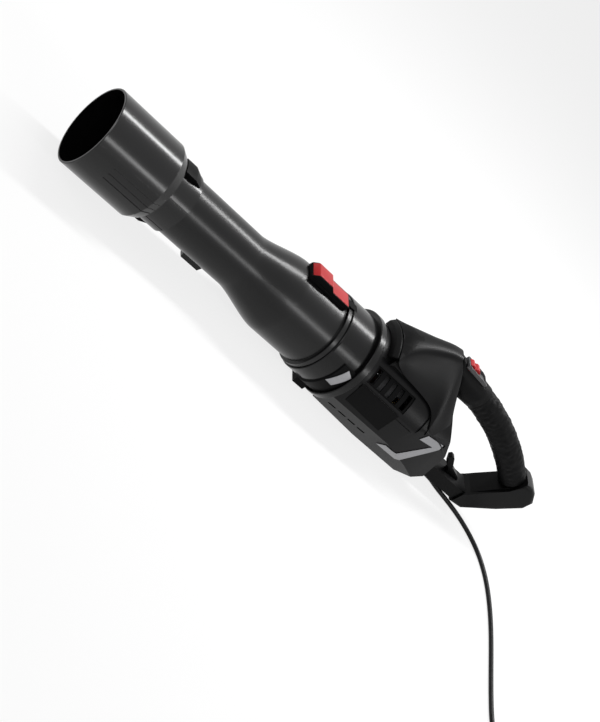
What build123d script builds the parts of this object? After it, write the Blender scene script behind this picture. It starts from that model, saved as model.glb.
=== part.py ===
from build123d import *

import os
from math import cos, degrees, pi, radians, sin, sqrt, tan

# Hand-held corded leaf blower, lying on its belly with the air tube level.
#
# Millimetres. +X runs from the nozzle's mouth to the handle, +Z is up and Y = 0 is the plane of symmetry.
# The origin is on the surface that the blower rests on, below the middle of its length.
# Front pieces are placed by their station, the distance from the nozzle's mouth. The casing and the
# handle are placed by their reach, the distance behind the casing's front face. Heights inside the
# blower are measured from the fan's axis. Angles round that axis start at the top.

os.makedirs("parts", exist_ok=True)

# ---------------------------------------------------------------------------------------------------
# Driving dimensions
# ---------------------------------------------------------------------------------------------------

axis_height = 65.0  # the fan's axis above the surface that the blower rests on

# clearances
slide_gap = 0.3  # between sliding pieces
seat_gap = 0.15  # between fixed pieces that sit against each other
skin_gap = 0.05  # under trims that are glued on
running_gap = 0.05  # radial, between the shaft and its bearings

# nozzle, a wide sleeve that pushes onto the front of the air tube
nozzle_radius = 54.5
nozzle_wall = 2.6
nozzle_sleeve = 97.0  # length of the wide part
nozzle_cone = 13.0  # length of the shoulder
cone_end_radius = 47.5
collar_length = 33.0
collar_wall = 2.6
collar_overlap = 12.0  # how far the collar's bore reaches forward inside the sleeve
side_pad_height = 0.8  # grip pad on each side of the nozzle
side_pad_angle = 21.0  # half of the pad, in degrees round the axis
side_rib_count = 3
side_rib_pitch = 9.5  # degrees
side_rib_start = 34.0
collar_slit_angle = 62.0
collar_slit_width = 1.3
tab_width = 23.0
tab_length = 28.0
tab_height = 6.0

# air tube
tube_front = 97.5  # station of the tube's front edge, inside the nozzle
tube_length = 310.5
tube_radius = 39.5
tube_wall = 2.4
flare_start = 158.5  # from the tube's front edge
flare_length = 76.0
flare_radius = 54.5
rear_rim_height = 4.0
rear_rim_length = 8.0
lug_start = 102.5  # from the tube's front edge
lug_length = 35.0
lug_height = 9.0
lug_width = 16.0
keel_rib_height = 2.0

# tube latch
latch_length = 71.0
latch_width = 26.0
latch_setback = 4.0  # between the latch and the tube's rear rim
latch_base_height = 3.0  # above the flare's crown
latch_front_height = 12.0
latch_rear_height = 6.5
latch_travel = 6.0
tongue_width = 12.0
tongue_thickness = 1.6
tongue_reach = 4.5  # how far the tongue enters the fan housing
spring_radius = 2.2
spring_wire = 0.35
spring_turns = 7
spring_length = 20.0

# fan housing
barrel_length = 49.0
barrel_radius = 60.5
fan_bore = 54.0
spigot_length = 34.0
spigot_wall = 2.8
ring_length = 11.0
ring_radius = 67.2
ring_recess = 4.0  # how deep the ring overlaps the barrel's rear edge
bayonet_tab_height = 1.6

# front foot, a cradle round the barrel
cradle_thickness = 2.2
cradle_length = 22.0
cradle_angle = 112.0  # half of the arc, measured from the bottom
foot_width = 60.0
trim_thickness = 1.2
label_thickness = 0.8

# motor casing
casing_radius = 65.0
casing_half_width = 62.0
casing_wall = 3.0
belly_half_width = 33.0
belly_length = 187.0
casing_length = 217.0
casing_full_length = 92.0  # how far the casing keeps its full width
casing_waist = (172.0, 52.0)  # reach and half-width where its sides turn in
casing_tail_half_width = 39.0
air_inlet_radius = 55.0  # the opening between the casing and the fan
vent_middle = 54.5  # degrees from the top
vent_half_angle = 12.5
vent_length = 78.0
vent_slot_count = 5
louvre_count = 4
louvre_length = 15.0
louvre_height = 3.0

# handle
hood_wall = 3.0
grip_half_height = 20.5
grip_half_width = 17.4
grip_crest_reach = 123.0  # where the grip's centre line is level
grip_crest_height = 93.0
grip_bend_radius = 416.0
grip_bend_angle = 33.0
grip_wall = 2.4
sleeve_start_angle = 6.4  # degrees of the bend from the crest to the sleeve's front edge
sleeve_end_angle = 31.0
sleeve_thickness = 2.2
bridge_top = -28.0
bridge_bottom = -49.0
bridge_half_width = 17.0
bar_half_width = 16.0
heel_length = 43.2  # the rear bar behind the end of the grip's sleeve
bumper_thickness = 5.5
bumper_half_width = 20.0
bumper_rounding = 7.0
hook_width = 10.0
rim_half_angle = 28.0
rim_height = 13.0

# power control
slider_travel = 10.0
bezel_length = 45.0
bezel_width = 19.0
bezel_height = 3.6
slider_length = 22.0
slider_width = 12.0
slider_height = 5.0
stem_width = 5.0
stem_length = 8.0

# motor and fan
shaft_radius = 4.0
fan_setback = 16.0  # from the barrel's front edge
fan_width = 26.0
fan_hub_radius = 21.0
fan_tip_gap = 1.2
blade_count = 9
blade_thickness = 1.8
vane_count = 7
vane_thickness = 2.0
vane_ring_wall = 3.0
vane_length = 12.0
motor_hub_radius = 25.0
stator_setback = 32.0  # from the casing's front face
stator_length = 42.0
stator_radius = 42.0
stator_rim = 8.0
stator_bore = 24.5
pole_half_angle = 50.0
air_gap = 0.5
winding_overhang = 9.0
commutator_radius = 13.0
commutator_length = 18.0
bearing_radius = 11.0
bearing_width = 7.0
brush_width = 6.0
brush_height = 9.0
brush_length = 14.0
brush_holder_wall = 1.2
bracket_thickness = 4.0
bracket_boss_wall = 4.0
bumper_ring_thickness = 4.0
screw_radius = 1.9
screw_head_radius = 3.8
screw_head_length = 2.6
boss_radius = 5.5

# mains lead
lead_diameter = 7.4
guard_length = 52.0
guard_root_radius = 7.0
guard_tip_radius = 5.2
guard_setback = 8.0  # where the guard starts, behind the end of the flat belly
guard_depth = 56.5  # below the fan's axis
plug_length = 42.0
plug_width = 34.0
plug_thickness = 22.0
pin_radius = 2.4
pin_length = 19.0
pin_pitch = 19.0

# ---------------------------------------------------------------------------------------------------
# Stations that follow from them, and the planes that the sketches use
# ---------------------------------------------------------------------------------------------------

nozzle_length = nozzle_sleeve + nozzle_cone
collar_end = nozzle_length + collar_length
tube_rear = tube_front + tube_length
rim_start = tube_rear - rear_rim_length
barrel_front = tube_rear + seat_gap
ring_front = barrel_front + barrel_length
ring_rear = ring_front + ring_length
casing_front = ring_rear + seat_gap
sleeve_end_reach = grip_crest_reach + grip_bend_radius * sin(radians(sleeve_end_angle))
sleeve_end_height = grip_crest_height - grip_bend_radius * (1 - cos(radians(sleeve_end_angle)))
bar_rear = sleeve_end_reach + heel_length
handle_reach = bar_rear + bumper_thickness
overall_length = casing_front + handle_reach

mouth_x = -overall_length / 2
casing_x = mouth_x + casing_front
tool_axis = Axis((0, 0, axis_height), (1, 0, 0))

# side views: local x is the station or the reach, local y is the height above the fan's axis
side = Plane(origin=(mouth_x, 0, axis_height), x_dir=(1, 0, 0), z_dir=(0, -1, 0))
body_side = Plane(origin=(casing_x, 0, axis_height), x_dir=(1, 0, 0), z_dir=(0, -1, 0))
# plan view: local x is the reach, local y is Y
body_plan = Plane(origin=(casing_x, 0, axis_height), x_dir=(1, 0, 0), z_dir=(0, 0, 1))

# the half of the blower on each side of the plane of symmetry, for someone who holds the grip
hands = {"left": Keep.TOP, "right": Keep.BOTTOM}
hand_sign = {"left": 1, "right": -1}


def body_section(reach):
    """The cross-section at a reach: local x is Y, local y is the height above the fan's axis."""
    return Plane(origin=(casing_x + reach, 0, axis_height), x_dir=(0, 1, 0), z_dir=(1, 0, 0))


def radial(origin_x, angle):
    """A plane through the fan's axis whose local y leans from the top to the left by an angle."""
    normal = (0, -cos(radians(angle)), -sin(radians(angle)))
    return Plane(origin=(origin_x, 0, axis_height), x_dir=(1, 0, 0), z_dir=normal)


def turned(*points, mode=Mode.ADD):
    """Revolves (station, radius) points about the fan's axis."""
    with BuildSketch(side) as outline:
        with BuildLine():
            Polyline(*points, close=True)
        make_face()
    revolve(outline.sketch, axis=tool_axis, mode=mode)


def ring(start, end, inner, outer, mode=Mode.ADD):
    """A plain tube about the fan's axis between two stations."""
    turned((start, inner), (start, outer), (end, outer), (end, inner), mode=mode)


def sector(middle, half_angle, *points, origin_x=mouth_x, mode=Mode.ADD):
    """Revolves an outline through half_angle degrees to each side of a middle angle."""
    with BuildSketch(radial(origin_x, middle - half_angle)) as outline:
        with BuildLine():
            Polyline(*points, close=True)
        make_face()
    revolve(outline.sketch, axis=tool_axis, revolution_arc=2 * half_angle, mode=mode)


def prism(half_width, *points, plane=side, middle=0.0, mode=Mode.ADD):
    """Pulls a side-view outline out to both sides of the plane of symmetry, or of a plane beside it."""
    with BuildSketch(plane.offset(middle)) as outline:
        with BuildLine():
            Polyline(*points, close=True)
        make_face()
    extrude(outline.sketch, amount=half_width, both=True, mode=mode)


def crosswise(reach, height, radius, start, end, mode=Mode.ADD):
    """A round pin across the blower. start and end count from the plane of symmetry to the right."""
    with BuildSketch(body_side.offset(-end)) as spot:
        with Locations((reach, height)):
            Circle(radius)
    extrude(spot.sketch, amount=end - start, mode=mode)


def save(piece, label):
    """Labels a finished piece and writes it."""
    piece.part.label = label
    export_step(piece.part, f"parts/{label}.step")


# ---------------------------------------------------------------------------------------------------
# Nozzle
# ---------------------------------------------------------------------------------------------------

collar_bore = tube_radius + slide_gap
collar_radius = collar_bore + collar_wall
nozzle_bore = nozzle_radius - nozzle_wall
collar_front = nozzle_length - collar_overlap
cone_back = nozzle_length - 1.0
lip = 0.8  # rounded edge at the mouth

with BuildPart() as nozzle:
    turned(
        (0, nozzle_bore),
        (0, nozzle_radius - lip),
        (lip, nozzle_radius),
        (nozzle_sleeve, nozzle_radius),
        (nozzle_length, cone_end_radius),
        (nozzle_length, collar_radius),
        (collar_end, collar_radius),
        (collar_end, collar_bore),
        (collar_front, collar_bore),
        (collar_front, collar_radius),
        (nozzle_length - nozzle_wall, collar_radius),
        (nozzle_length - nozzle_wall, cone_end_radius - nozzle_wall),
        (nozzle_sleeve, nozzle_bore),
    )
    for pad_middle in (90, -90):
        sector(
            pad_middle, side_pad_angle,
            (lip, nozzle_radius - lip),
            (lip, nozzle_radius + side_pad_height),
            (nozzle_sleeve, nozzle_radius + side_pad_height),
            (cone_back, cone_end_radius + side_pad_height),
            (cone_back, cone_end_radius - lip),
            (nozzle_sleeve, nozzle_radius - lip),
        )
        for number in range(side_rib_count):
            lean = (number - (side_rib_count - 1) / 2) * side_rib_pitch
            sector(
                pad_middle + lean, 0.9,
                (side_rib_start, nozzle_radius),
                (side_rib_start + lip, nozzle_radius + 2 * side_pad_height),
                (nozzle_sleeve, nozzle_radius + 2 * side_pad_height),
                (cone_back, cone_end_radius + 2 * side_pad_height),
                (cone_back, cone_end_radius),
                (nozzle_sleeve, nozzle_radius),
            )
    # slits that let the collar grip the tube
    for slit_middle in (collar_slit_angle, 180 - collar_slit_angle, -collar_slit_angle, collar_slit_angle - 180):
        sector(
            slit_middle, degrees(collar_slit_width / 2 / collar_radius),
            (nozzle_length + collar_wall, collar_bore - 1),
            (nozzle_length + collar_wall, collar_radius + 1),
            (collar_end + 1, collar_radius + 1),
            (collar_end + 1, collar_bore - 1),
            mode=Mode.SUBTRACT,
        )
save(nozzle, "nozzle")

tab_root = collar_radius + skin_gap
with BuildPart() as nozzle_tabs:
    for tab_middle in (0, 180):
        sector(
            tab_middle, degrees(tab_width / 2 / collar_radius),
            (nozzle_length + seat_gap, tab_root),
            (nozzle_length + seat_gap, tab_root + tab_height),
            (nozzle_length + 0.6 * tab_length, tab_root + tab_height),
            (nozzle_length + tab_length, tab_root + 0.2 * tab_height),
            (nozzle_length + tab_length, tab_root),
        )
save(nozzle_tabs, "nozzle_tabs")

# ---------------------------------------------------------------------------------------------------
# Air tube
# ---------------------------------------------------------------------------------------------------

flare_bore = flare_radius - tube_wall
tube_bore = tube_radius - tube_wall
rear_rim_radius = flare_radius + rear_rim_height
flare_from = tube_front + flare_start
flare_to = flare_from + flare_length
lug_from = tube_front + lug_start

with BuildPart() as blow_tube:
    with BuildSketch(side):
        with BuildLine():
            Polyline(
                (flare_from, tube_bore),
                (tube_front, tube_bore),
                (tube_front, tube_radius - 0.5),
                (tube_front + 2, tube_radius),
                (flare_from, tube_radius),
            )
            Spline(
                (flare_from, tube_radius), (flare_to, flare_radius),
                tangents=((1, 0), (1, 0)), tangent_scalars=(0.75, 0.75),
            )
            Polyline(
                (flare_to, flare_radius),
                (rim_start, flare_radius),
                (rim_start + 1, rear_rim_radius),
                (tube_rear, rear_rim_radius),
                (tube_rear, flare_bore),
                (flare_to, flare_bore),
            )
            Spline(
                (flare_to, flare_bore), (flare_from, tube_bore),
                tangents=((-1, 0), (-1, 0)), tangent_scalars=(0.75, 0.75),
            )
        make_face()
    revolve(axis=tool_axis)
    # hanging lug below the tube, and the guide rib in front of it
    sector(
        180, degrees(lug_width / 2 / tube_radius),
        (lug_from, tube_radius - 1),
        (lug_from + 2, tube_radius + lug_height),
        (lug_from + lug_length - 4, tube_radius + lug_height),
        (lug_from + lug_length, tube_radius - 1),
    )
    sector(
        180, 3,
        (collar_end + 1, tube_radius - 1),
        (collar_end + 1, tube_radius + keel_rib_height),
        (lug_from + 1, tube_radius + keel_rib_height),
        (lug_from + 1, tube_radius - 1),
    )
save(blow_tube, "blow_tube")

# ---------------------------------------------------------------------------------------------------
# Latch: a sprung slider on the tube's crown whose tongue stops the tube from turning
# ---------------------------------------------------------------------------------------------------

latch_end = rim_start - latch_setback
latch_start = latch_end - latch_length
base_top = flare_radius + latch_base_height
button_floor = base_top + slide_gap
button_crown = flare_radius + latch_front_height
button_rear_top = flare_radius + latch_rear_height
latch_crown_from = latch_start + 0.11 * latch_length
latch_crown_to = latch_start + 0.45 * latch_length
latch_step_to = latch_start + 0.55 * latch_length
post_start = latch_start + 9.0
post_thickness = 2.0
spring_start = post_start + post_thickness + seat_gap
keel_start = spring_start + spring_length + seat_gap
keel_length = 20.0
keel_half_width = 4.6
spring_half_room = spring_radius + spring_wire + 0.6
spring_height = base_top + 1.0
tongue_bottom = rear_rim_radius + slide_gap
tongue_top = tongue_bottom + tongue_thickness
tongue_end = barrel_front + tongue_reach

with BuildPart() as latch_base:
    prism(
        latch_width / 2,
        (latch_start, flare_radius - 4),
        (latch_start, base_top),
        (latch_end, base_top),
        (latch_end, flare_radius - 4),
    )
    ring(0, tube_rear, 0, flare_radius + skin_gap, mode=Mode.SUBTRACT)
    # pocket for the spring and for the button's keel, which needs the travel in front of it
    prism(
        keel_half_width + slide_gap,
        (post_start + post_thickness, 0),
        (post_start + post_thickness, base_top + 1),
        (keel_start + keel_length + 1, base_top + 1),
        (keel_start + keel_length + 1, 0),
        mode=Mode.SUBTRACT,
    )
    prism(
        spring_radius,
        (post_start, flare_radius + 0.5),
        (post_start, spring_height + spring_radius),
        (post_start + post_thickness, spring_height + spring_radius),
        (post_start + post_thickness, flare_radius + 0.5),
    )
save(latch_base, "latch_base")

with BuildPart() as latch_button:
    prism(
        latch_width / 2,
        (latch_start, button_floor),
        (latch_start + 1, button_crown - 6),
        (latch_crown_from, button_crown),
        (latch_crown_to, button_crown),
        (latch_step_to, button_rear_top),
        (latch_end, button_rear_top),
        (latch_end, button_floor),
    )
    fillet(latch_button.edges().filter_by(Axis.X).group_by(Axis.Z)[-1], radius=2)
    # room for the post and the spring
    prism(
        spring_half_room,
        (post_start - latch_travel, button_floor - 1),
        (post_start - latch_travel, spring_height + spring_half_room),
        (keel_start, spring_height + spring_half_room),
        (keel_start, button_floor - 1),
        mode=Mode.SUBTRACT,
    )
    prism(
        keel_half_width,
        (keel_start, flare_radius + slide_gap),
        (keel_start, button_floor + 1),
        (keel_start + keel_length, button_floor + 1),
        (keel_start + keel_length, flare_radius + slide_gap),
    )
    prism(
        tongue_width / 2,
        (latch_end - 3, tongue_bottom),
        (latch_end - 3, tongue_top),
        (tongue_end, tongue_top),
        (tongue_end, tongue_bottom),
    )
save(latch_button, "latch_button")

coil_height = spring_length - 4 * spring_wire
with BuildPart() as latch_spring:
    with BuildLine() as coil:
        Helix(
            pitch=coil_height / spring_turns,
            height=coil_height,
            radius=spring_radius,
            center=(mouth_x + spring_start + 2 * spring_wire, 0, axis_height + spring_height),
            direction=(1, 0, 0),
        )
    with BuildSketch(Plane(origin=coil.line @ 0, z_dir=coil.line % 0)):
        Circle(spring_wire)
    sweep(path=coil.line)
save(latch_spring, "latch_spring")

# ---------------------------------------------------------------------------------------------------
# Fan housing, the ring that locks it to the casing, and the cradle with the front foot
# ---------------------------------------------------------------------------------------------------

spigot_radius = flare_bore - slide_gap
spigot_bore = spigot_radius - spigot_wall
spigot_front = barrel_front - spigot_length
throat_end = barrel_front + 0.6 * fan_setback
barrel_rear_radius = barrel_radius - 2.0
barrel_rear = ring_front + ring_recess

with BuildPart() as fan_housing:
    turned(
        (spigot_front, spigot_bore),
        (spigot_front, spigot_radius - 0.5),
        (spigot_front + 1, spigot_radius),
        (barrel_front, spigot_radius),
        (barrel_front, barrel_radius - 0.8),
        (barrel_front + 0.8, barrel_radius),
        (ring_front - seat_gap, barrel_radius),
        (ring_front - seat_gap, barrel_rear_radius),
        (barrel_rear, barrel_rear_radius),
        (barrel_rear, fan_bore),
        (throat_end, fan_bore),
        (barrel_front, spigot_bore),
    )
    # raised twist-lock tabs, one each side of the crown
    for tab_middle in (59, -59):
        sector(
            tab_middle, 7,
            (barrel_front + 1, barrel_radius - 1),
            (barrel_front + 1, barrel_radius + bayonet_tab_height),
            (barrel_front + 0.6 * barrel_length, barrel_radius + bayonet_tab_height),
            (barrel_front + 0.65 * barrel_length, barrel_radius - 1),
        )
    # notch for the latch's tongue
    prism(
        tongue_width / 2 + slide_gap,
        (barrel_front - 1, tongue_bottom - slide_gap),
        (barrel_front - 1, barrel_radius + 5),
        (tongue_end + slide_gap, barrel_radius + 5),
        (tongue_end + slide_gap, tongue_bottom - slide_gap),
        mode=Mode.SUBTRACT,
    )
save(fan_housing, "fan_housing")

with BuildPart() as clamp_ring:
    turned(
        (ring_front, barrel_rear_radius + seat_gap),
        (ring_front, ring_radius - 1),
        (ring_front + 1, ring_radius),
        (ring_rear - 1, ring_radius),
        (ring_rear, ring_radius - 1),
        (ring_rear, fan_bore + 1),
        (barrel_rear + seat_gap, fan_bore + 1),
        (barrel_rear + seat_gap, barrel_rear_radius + seat_gap),
    )
    # flat at the bottom, so that the blower rests on its belly
    prism(
        ring_radius,
        (ring_front - 1, -axis_height + seat_gap),
        (ring_rear + 1, -axis_height + seat_gap),
        (ring_rear + 1, -2 * axis_height),
        (ring_front - 1, -2 * axis_height),
        mode=Mode.SUBTRACT,
    )
save(clamp_ring, "clamp_ring")

cradle_bore = barrel_radius + seat_gap
cradle_radius = cradle_bore + cradle_thickness
cradle_rear = ring_front - 2 * seat_gap
cradle_front = cradle_rear - cradle_length
with BuildPart() as front_foot:
    sector(
        180, cradle_angle,
        (cradle_front, cradle_bore),
        (cradle_front + 1, cradle_radius),
        (cradle_rear, cradle_radius),
        (cradle_rear, cradle_bore),
    )
    prism(
        foot_width / 2,
        (cradle_front, -barrel_radius * 0.8),
        (cradle_front + 2, -axis_height),
        (cradle_rear, -axis_height),
        (cradle_rear, -barrel_radius * 0.8),
    )
    ring(cradle_front - 1, cradle_rear + 1, 0, cradle_bore, mode=Mode.SUBTRACT)
save(front_foot, "front_foot")

for hand, keep in hands.items():
    with BuildPart() as front_trim:
        ring(cradle_front, cradle_rear, cradle_radius + skin_gap, cradle_radius + trim_thickness)
        prism(
            2 * ring_radius,
            (cradle_front + 1, -10),
            (cradle_front + 14, -11),
            (cradle_rear, 16),
            (cradle_front + 11, 21),
            mode=Mode.INTERSECT,
        )
        split(bisect_by=Plane.XZ, keep=keep)
    save(front_trim, f"front_trim_{hand}")

# ---------------------------------------------------------------------------------------------------
# Motor casing: the form shared by its walls, its cavity and the trims on its sides
# ---------------------------------------------------------------------------------------------------

# the rear face leans forward as it rises, from the handle's bridge to the grip
rear_face_foot = (casing_length - 16.0, 10.0)
rear_face_slope = 1.03
bevel_height = 22.0
belly_front = 95.0
belly_rise = 9.0  # how far the belly's front edge stands off the ground
panel_height = 1.5
louvre_depth = 43.0


def rear_face_reach(height):
    """Where the slanted rear face stands at a height."""
    return rear_face_foot[0] - (height - rear_face_foot[1]) / rear_face_slope


def casing_form(inset):
    """The casing's closed form, moved inward by inset: a side view, a cross-section and a plan."""
    with BuildPart() as form:
        with BuildSketch(body_side) as profile:
            with BuildLine():
                Polyline(
                    (0, belly_rise - axis_height),
                    (belly_front, -axis_height),
                    (belly_length, -axis_height),
                    (casing_length, bridge_bottom + 12),
                    rear_face_foot,
                    (rear_face_reach(62), 62),
                    (0, casing_radius + 1),
                    close=True,
                )
            make_face()
            if inset:
                offset(amount=-inset, kind=Kind.INTERSECTION)
        extrude(amount=2 * casing_radius, both=True)
        shoulder = sqrt(casing_radius**2 - casing_half_width**2)
        with BuildSketch(body_section(-10)) as across:
            with BuildLine():
                Polyline(
                    (casing_half_width, shoulder),
                    (casing_half_width, -bevel_height),
                    (belly_half_width, -axis_height),
                    (-belly_half_width, -axis_height),
                    (-casing_half_width, -bevel_height),
                    (-casing_half_width, shoulder),
                )
                ThreePointArc(
                    (-casing_half_width, shoulder), (0, casing_radius), (casing_half_width, shoulder)
                )
            make_face()
            if inset:
                offset(amount=-inset, kind=Kind.INTERSECTION)
        extrude(amount=casing_length + 30, mode=Mode.INTERSECT)
        with BuildSketch(body_plan) as above:
            with BuildLine():
                Polyline(
                    (-10, -casing_radius - 1),
                    (casing_full_length, -casing_radius - 1),
                    (casing_waist[0], -casing_waist[1]),
                    (casing_length + 5, -casing_tail_half_width),
                    (casing_length + 5, casing_tail_half_width),
                    casing_waist,
                    (casing_full_length, casing_radius + 1),
                    (-10, casing_radius + 1),
                    close=True,
                )
            make_face()
            if inset:
                offset(amount=-inset, kind=Kind.INTERSECTION)
        extrude(amount=2 * casing_radius, both=True, mode=Mode.INTERSECT)
    return form.part


def skin_patch(inner_form, outer_form, *outline):
    """The skin between two forms of the casing, inside a side-view outline, on both sides."""
    add(outer_form)
    prism(2 * casing_radius, *outline, plane=body_side, mode=Mode.INTERSECT)
    add(inner_form, mode=Mode.SUBTRACT)


casing_outside = casing_form(0)
casing_inside = casing_form(casing_wall)
casing_middle = casing_form(casing_wall / 2)
casing_seat = casing_form(-seat_gap)
casing_skin = casing_form(-skin_gap)
casing_trim = casing_form(-trim_thickness)

# screws that close the casing, by reach and height
casing_screws = ((14, -52), (100, -54), (172, -52), (188, -12), (100, 53), (14, 53))
screw_tip = 14.0  # how far a screw reaches past the plane of symmetry
screw_seat = 12.0  # depth of the screw heads, from the plane of symmetry
stator_front = casing_front + stator_setback
stator_rear = stator_front + stator_length
commutator_front = stator_rear + 12.0
bracket_front = commutator_front + commutator_length + 5.0
boss_outer = bearing_radius + bracket_boss_wall
rubber_radius = boss_outer + bumper_ring_thickness
collar_station = bracket_front + bracket_thickness + 1.0
vent_front = 8.0
vent_floor = casing_radius - 2.0
lead_height = -guard_depth
guard_reach = belly_length + guard_setback
cable_way = (108.0, 126.0)  # hole in the casing's crown, under the hood
cable_way_half_width = 9.0

# raised side panels that carry the hood's flanks down to the trim
side_panel_outline = (
    (112, 60), (118, 51), (125, 45), (131, 33), (134, 24), (138, 29), (175, 30), (179.5, 19),
    (rear_face_reach(13), 13), (rear_face_reach(60), 60),
)
with BuildPart() as side_panels:
    skin_patch(casing_middle, casing_form(-panel_height), *side_panel_outline)
with BuildPart() as panel_room:
    skin_patch(casing_middle, casing_form(-panel_height - seat_gap), *side_panel_outline)

with BuildPart() as casing_core:
    # planks that hold the stator
    for rib_angle in (28, 135, -28, -135):
        sector(
            rib_angle, 2.2,
            (stator_front + 4, stator_radius + seat_gap),
            (stator_front + 4, casing_radius),
            (stator_rear - 4, casing_radius),
            (stator_rear - 4, stator_radius + seat_gap),
        )
    # collar and planks round the motor's rubber ring
    ring(collar_station, collar_station + 8, rubber_radius + seat_gap, rubber_radius + 3)
    for rib_angle in (90, 180, -90):
        sector(
            rib_angle, 2.2,
            (collar_station, rubber_radius + 2),
            (collar_station, casing_radius),
            (collar_station + 8, casing_radius),
            (collar_station + 8, rubber_radius + 2),
        )
    for reach, height in casing_screws:
        crosswise(reach, height, boss_radius, -casing_half_width, casing_half_width)
    add(casing_middle, mode=Mode.INTERSECT)

with BuildPart() as casing_shell:
    add(casing_outside)
    add(casing_inside, mode=Mode.SUBTRACT)
    ring(casing_front - 1, casing_front + 2 * casing_wall, 0, air_inlet_radius, mode=Mode.SUBTRACT)
    add(casing_core.part)
    add(side_panels.part)
    prism(
        cable_way_half_width,
        (cable_way[0], 45),
        (cable_way[0], casing_radius + 3),
        (cable_way[1], casing_radius + 3),
        (cable_way[1], 45),
        plane=body_side, mode=Mode.SUBTRACT,
    )
    # way for the mains lead's guard
    with BuildSketch(body_section(guard_reach - 14)) as lead_way:
        with Locations((0, lead_height)):
            Circle(guard_root_radius + seat_gap)
    extrude(lead_way.sketch, amount=guard_length, mode=Mode.SUBTRACT)
    for reach, height in casing_screws:
        crosswise(reach, height, screw_radius + seat_gap, -screw_tip - 1, screw_seat + 1, mode=Mode.SUBTRACT)
        crosswise(reach, height, screw_head_radius + seat_gap, screw_seat, casing_radius, mode=Mode.SUBTRACT)

for hand, keep in hands.items():
    sign = hand_sign[hand]
    with BuildPart() as housing:
        add(casing_shell.part)
        split(bisect_by=Plane.XZ, keep=keep)
        # recess and window of the vent grille
        sector(
            sign * vent_middle, vent_half_angle + 10,
            (5, vent_floor),
            (5, casing_radius + 4),
            (vent_front + vent_length + 36, casing_radius + 4),
            (vent_front + vent_length + 36, vent_floor),
            origin_x=casing_x, mode=Mode.SUBTRACT,
        )
        sector(
            sign * vent_middle, vent_half_angle,
            (vent_front, vent_floor - 4),
            (vent_front, vent_floor + 1),
            (vent_front + vent_length, vent_floor + 1),
            (vent_front + vent_length, vent_floor - 4),
            origin_x=casing_x, mode=Mode.SUBTRACT,
        )
        for number in range(louvre_count):
            louvre_from = 14 + number * 1.35 * louvre_length
            prism(
                20,
                (louvre_from, -louvre_depth),
                (louvre_from + louvre_length, -louvre_depth),
                (louvre_from + louvre_length, -louvre_depth + louvre_height),
                (louvre_from, -louvre_depth + louvre_height),
                plane=body_side, middle=sign * casing_half_width, mode=Mode.SUBTRACT,
            )
    save(housing, f"housing_{hand}")

grille_radius = casing_radius - casing_wall - seat_gap
slot_pitch = vent_length / vent_slot_count
for hand in hands:
    sign = hand_sign[hand]
    with BuildPart() as vent_grille:
        sector(
            sign * vent_middle, vent_half_angle + 2,
            (vent_front - 2, grille_radius - 1.6),
            (vent_front - 2, grille_radius),
            (vent_front + vent_length + 2, grille_radius),
            (vent_front + vent_length + 2, grille_radius - 1.6),
            origin_x=casing_x,
        )
        for number in range(vent_slot_count):
            slot_from = vent_front + (number + 0.25) * slot_pitch
            sector(
                sign * vent_middle, vent_half_angle - 2,
                (slot_from, grille_radius - 3),
                (slot_from, grille_radius + 1),
                (slot_from + slot_pitch / 2, grille_radius + 1),
                (slot_from + slot_pitch / 2, grille_radius - 3),
                origin_x=casing_x, mode=Mode.SUBTRACT,
            )
    save(vent_grille, f"vent_grille_{hand}")

label_outline = ((5, 22), (82, 21), (86, -16), (13, -13))
rear_trim_outline = (
    (137, 14), (140, 27), (173, 28), (177, 18), (153, -39), (114, -40), (118, -27), (141, -27), (165, 15),
)
for hand, keep in hands.items():
    with BuildPart() as label_plate:
        skin_patch(casing_skin, casing_form(-label_thickness), *label_outline)
        split(bisect_by=Plane.XZ, keep=keep)
    save(label_plate, f"label_plate_{hand}")
    with BuildPart() as rear_trim:
        skin_patch(casing_skin, casing_trim, *rear_trim_outline)
        split(bisect_by=Plane.XZ, keep=keep)
    save(rear_trim, f"rear_trim_{hand}")

# ---------------------------------------------------------------------------------------------------
# Handle: hood, grip, rear bar and bridge are one moulding, made as two shells
# ---------------------------------------------------------------------------------------------------

# hood's cross-sections: reach, half-width low on the casing, shoulder half-width and height, crown height
hood_stations = (
    (19, 38, 37, 70, 79),
    (28, 40, 25, 83, 88),
    (40, 42, 18, 92, 96),
    (60, 42, 14, 102, 106),
    (84, 42, 12, 114, 118),
    (112, 44, 13.5, 113, 118),
    (142, 33, 15, 107, 115),
    (172, 20, 16, 100, 112),
)
hood_skirt = 38.0  # height of the hood's lower edge, inside the casing's crown
hood_lift = 2.5  # the hood's underside at the finger gap, above the grip's
hood_front = hood_stations[0][0]
hood_back = hood_stations[-1][0]
crest_offset = grip_crest_height - grip_bend_radius  # height of the bend's centre


def grip_point(angle, lift=0.0):
    """A point at an angle past the crest, on the grip's centre line or lifted off it."""
    reach = grip_crest_reach + (grip_bend_radius + lift) * sin(radians(angle))
    height = crest_offset + (grip_bend_radius + lift) * cos(radians(angle))
    return (reach, height)


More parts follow.
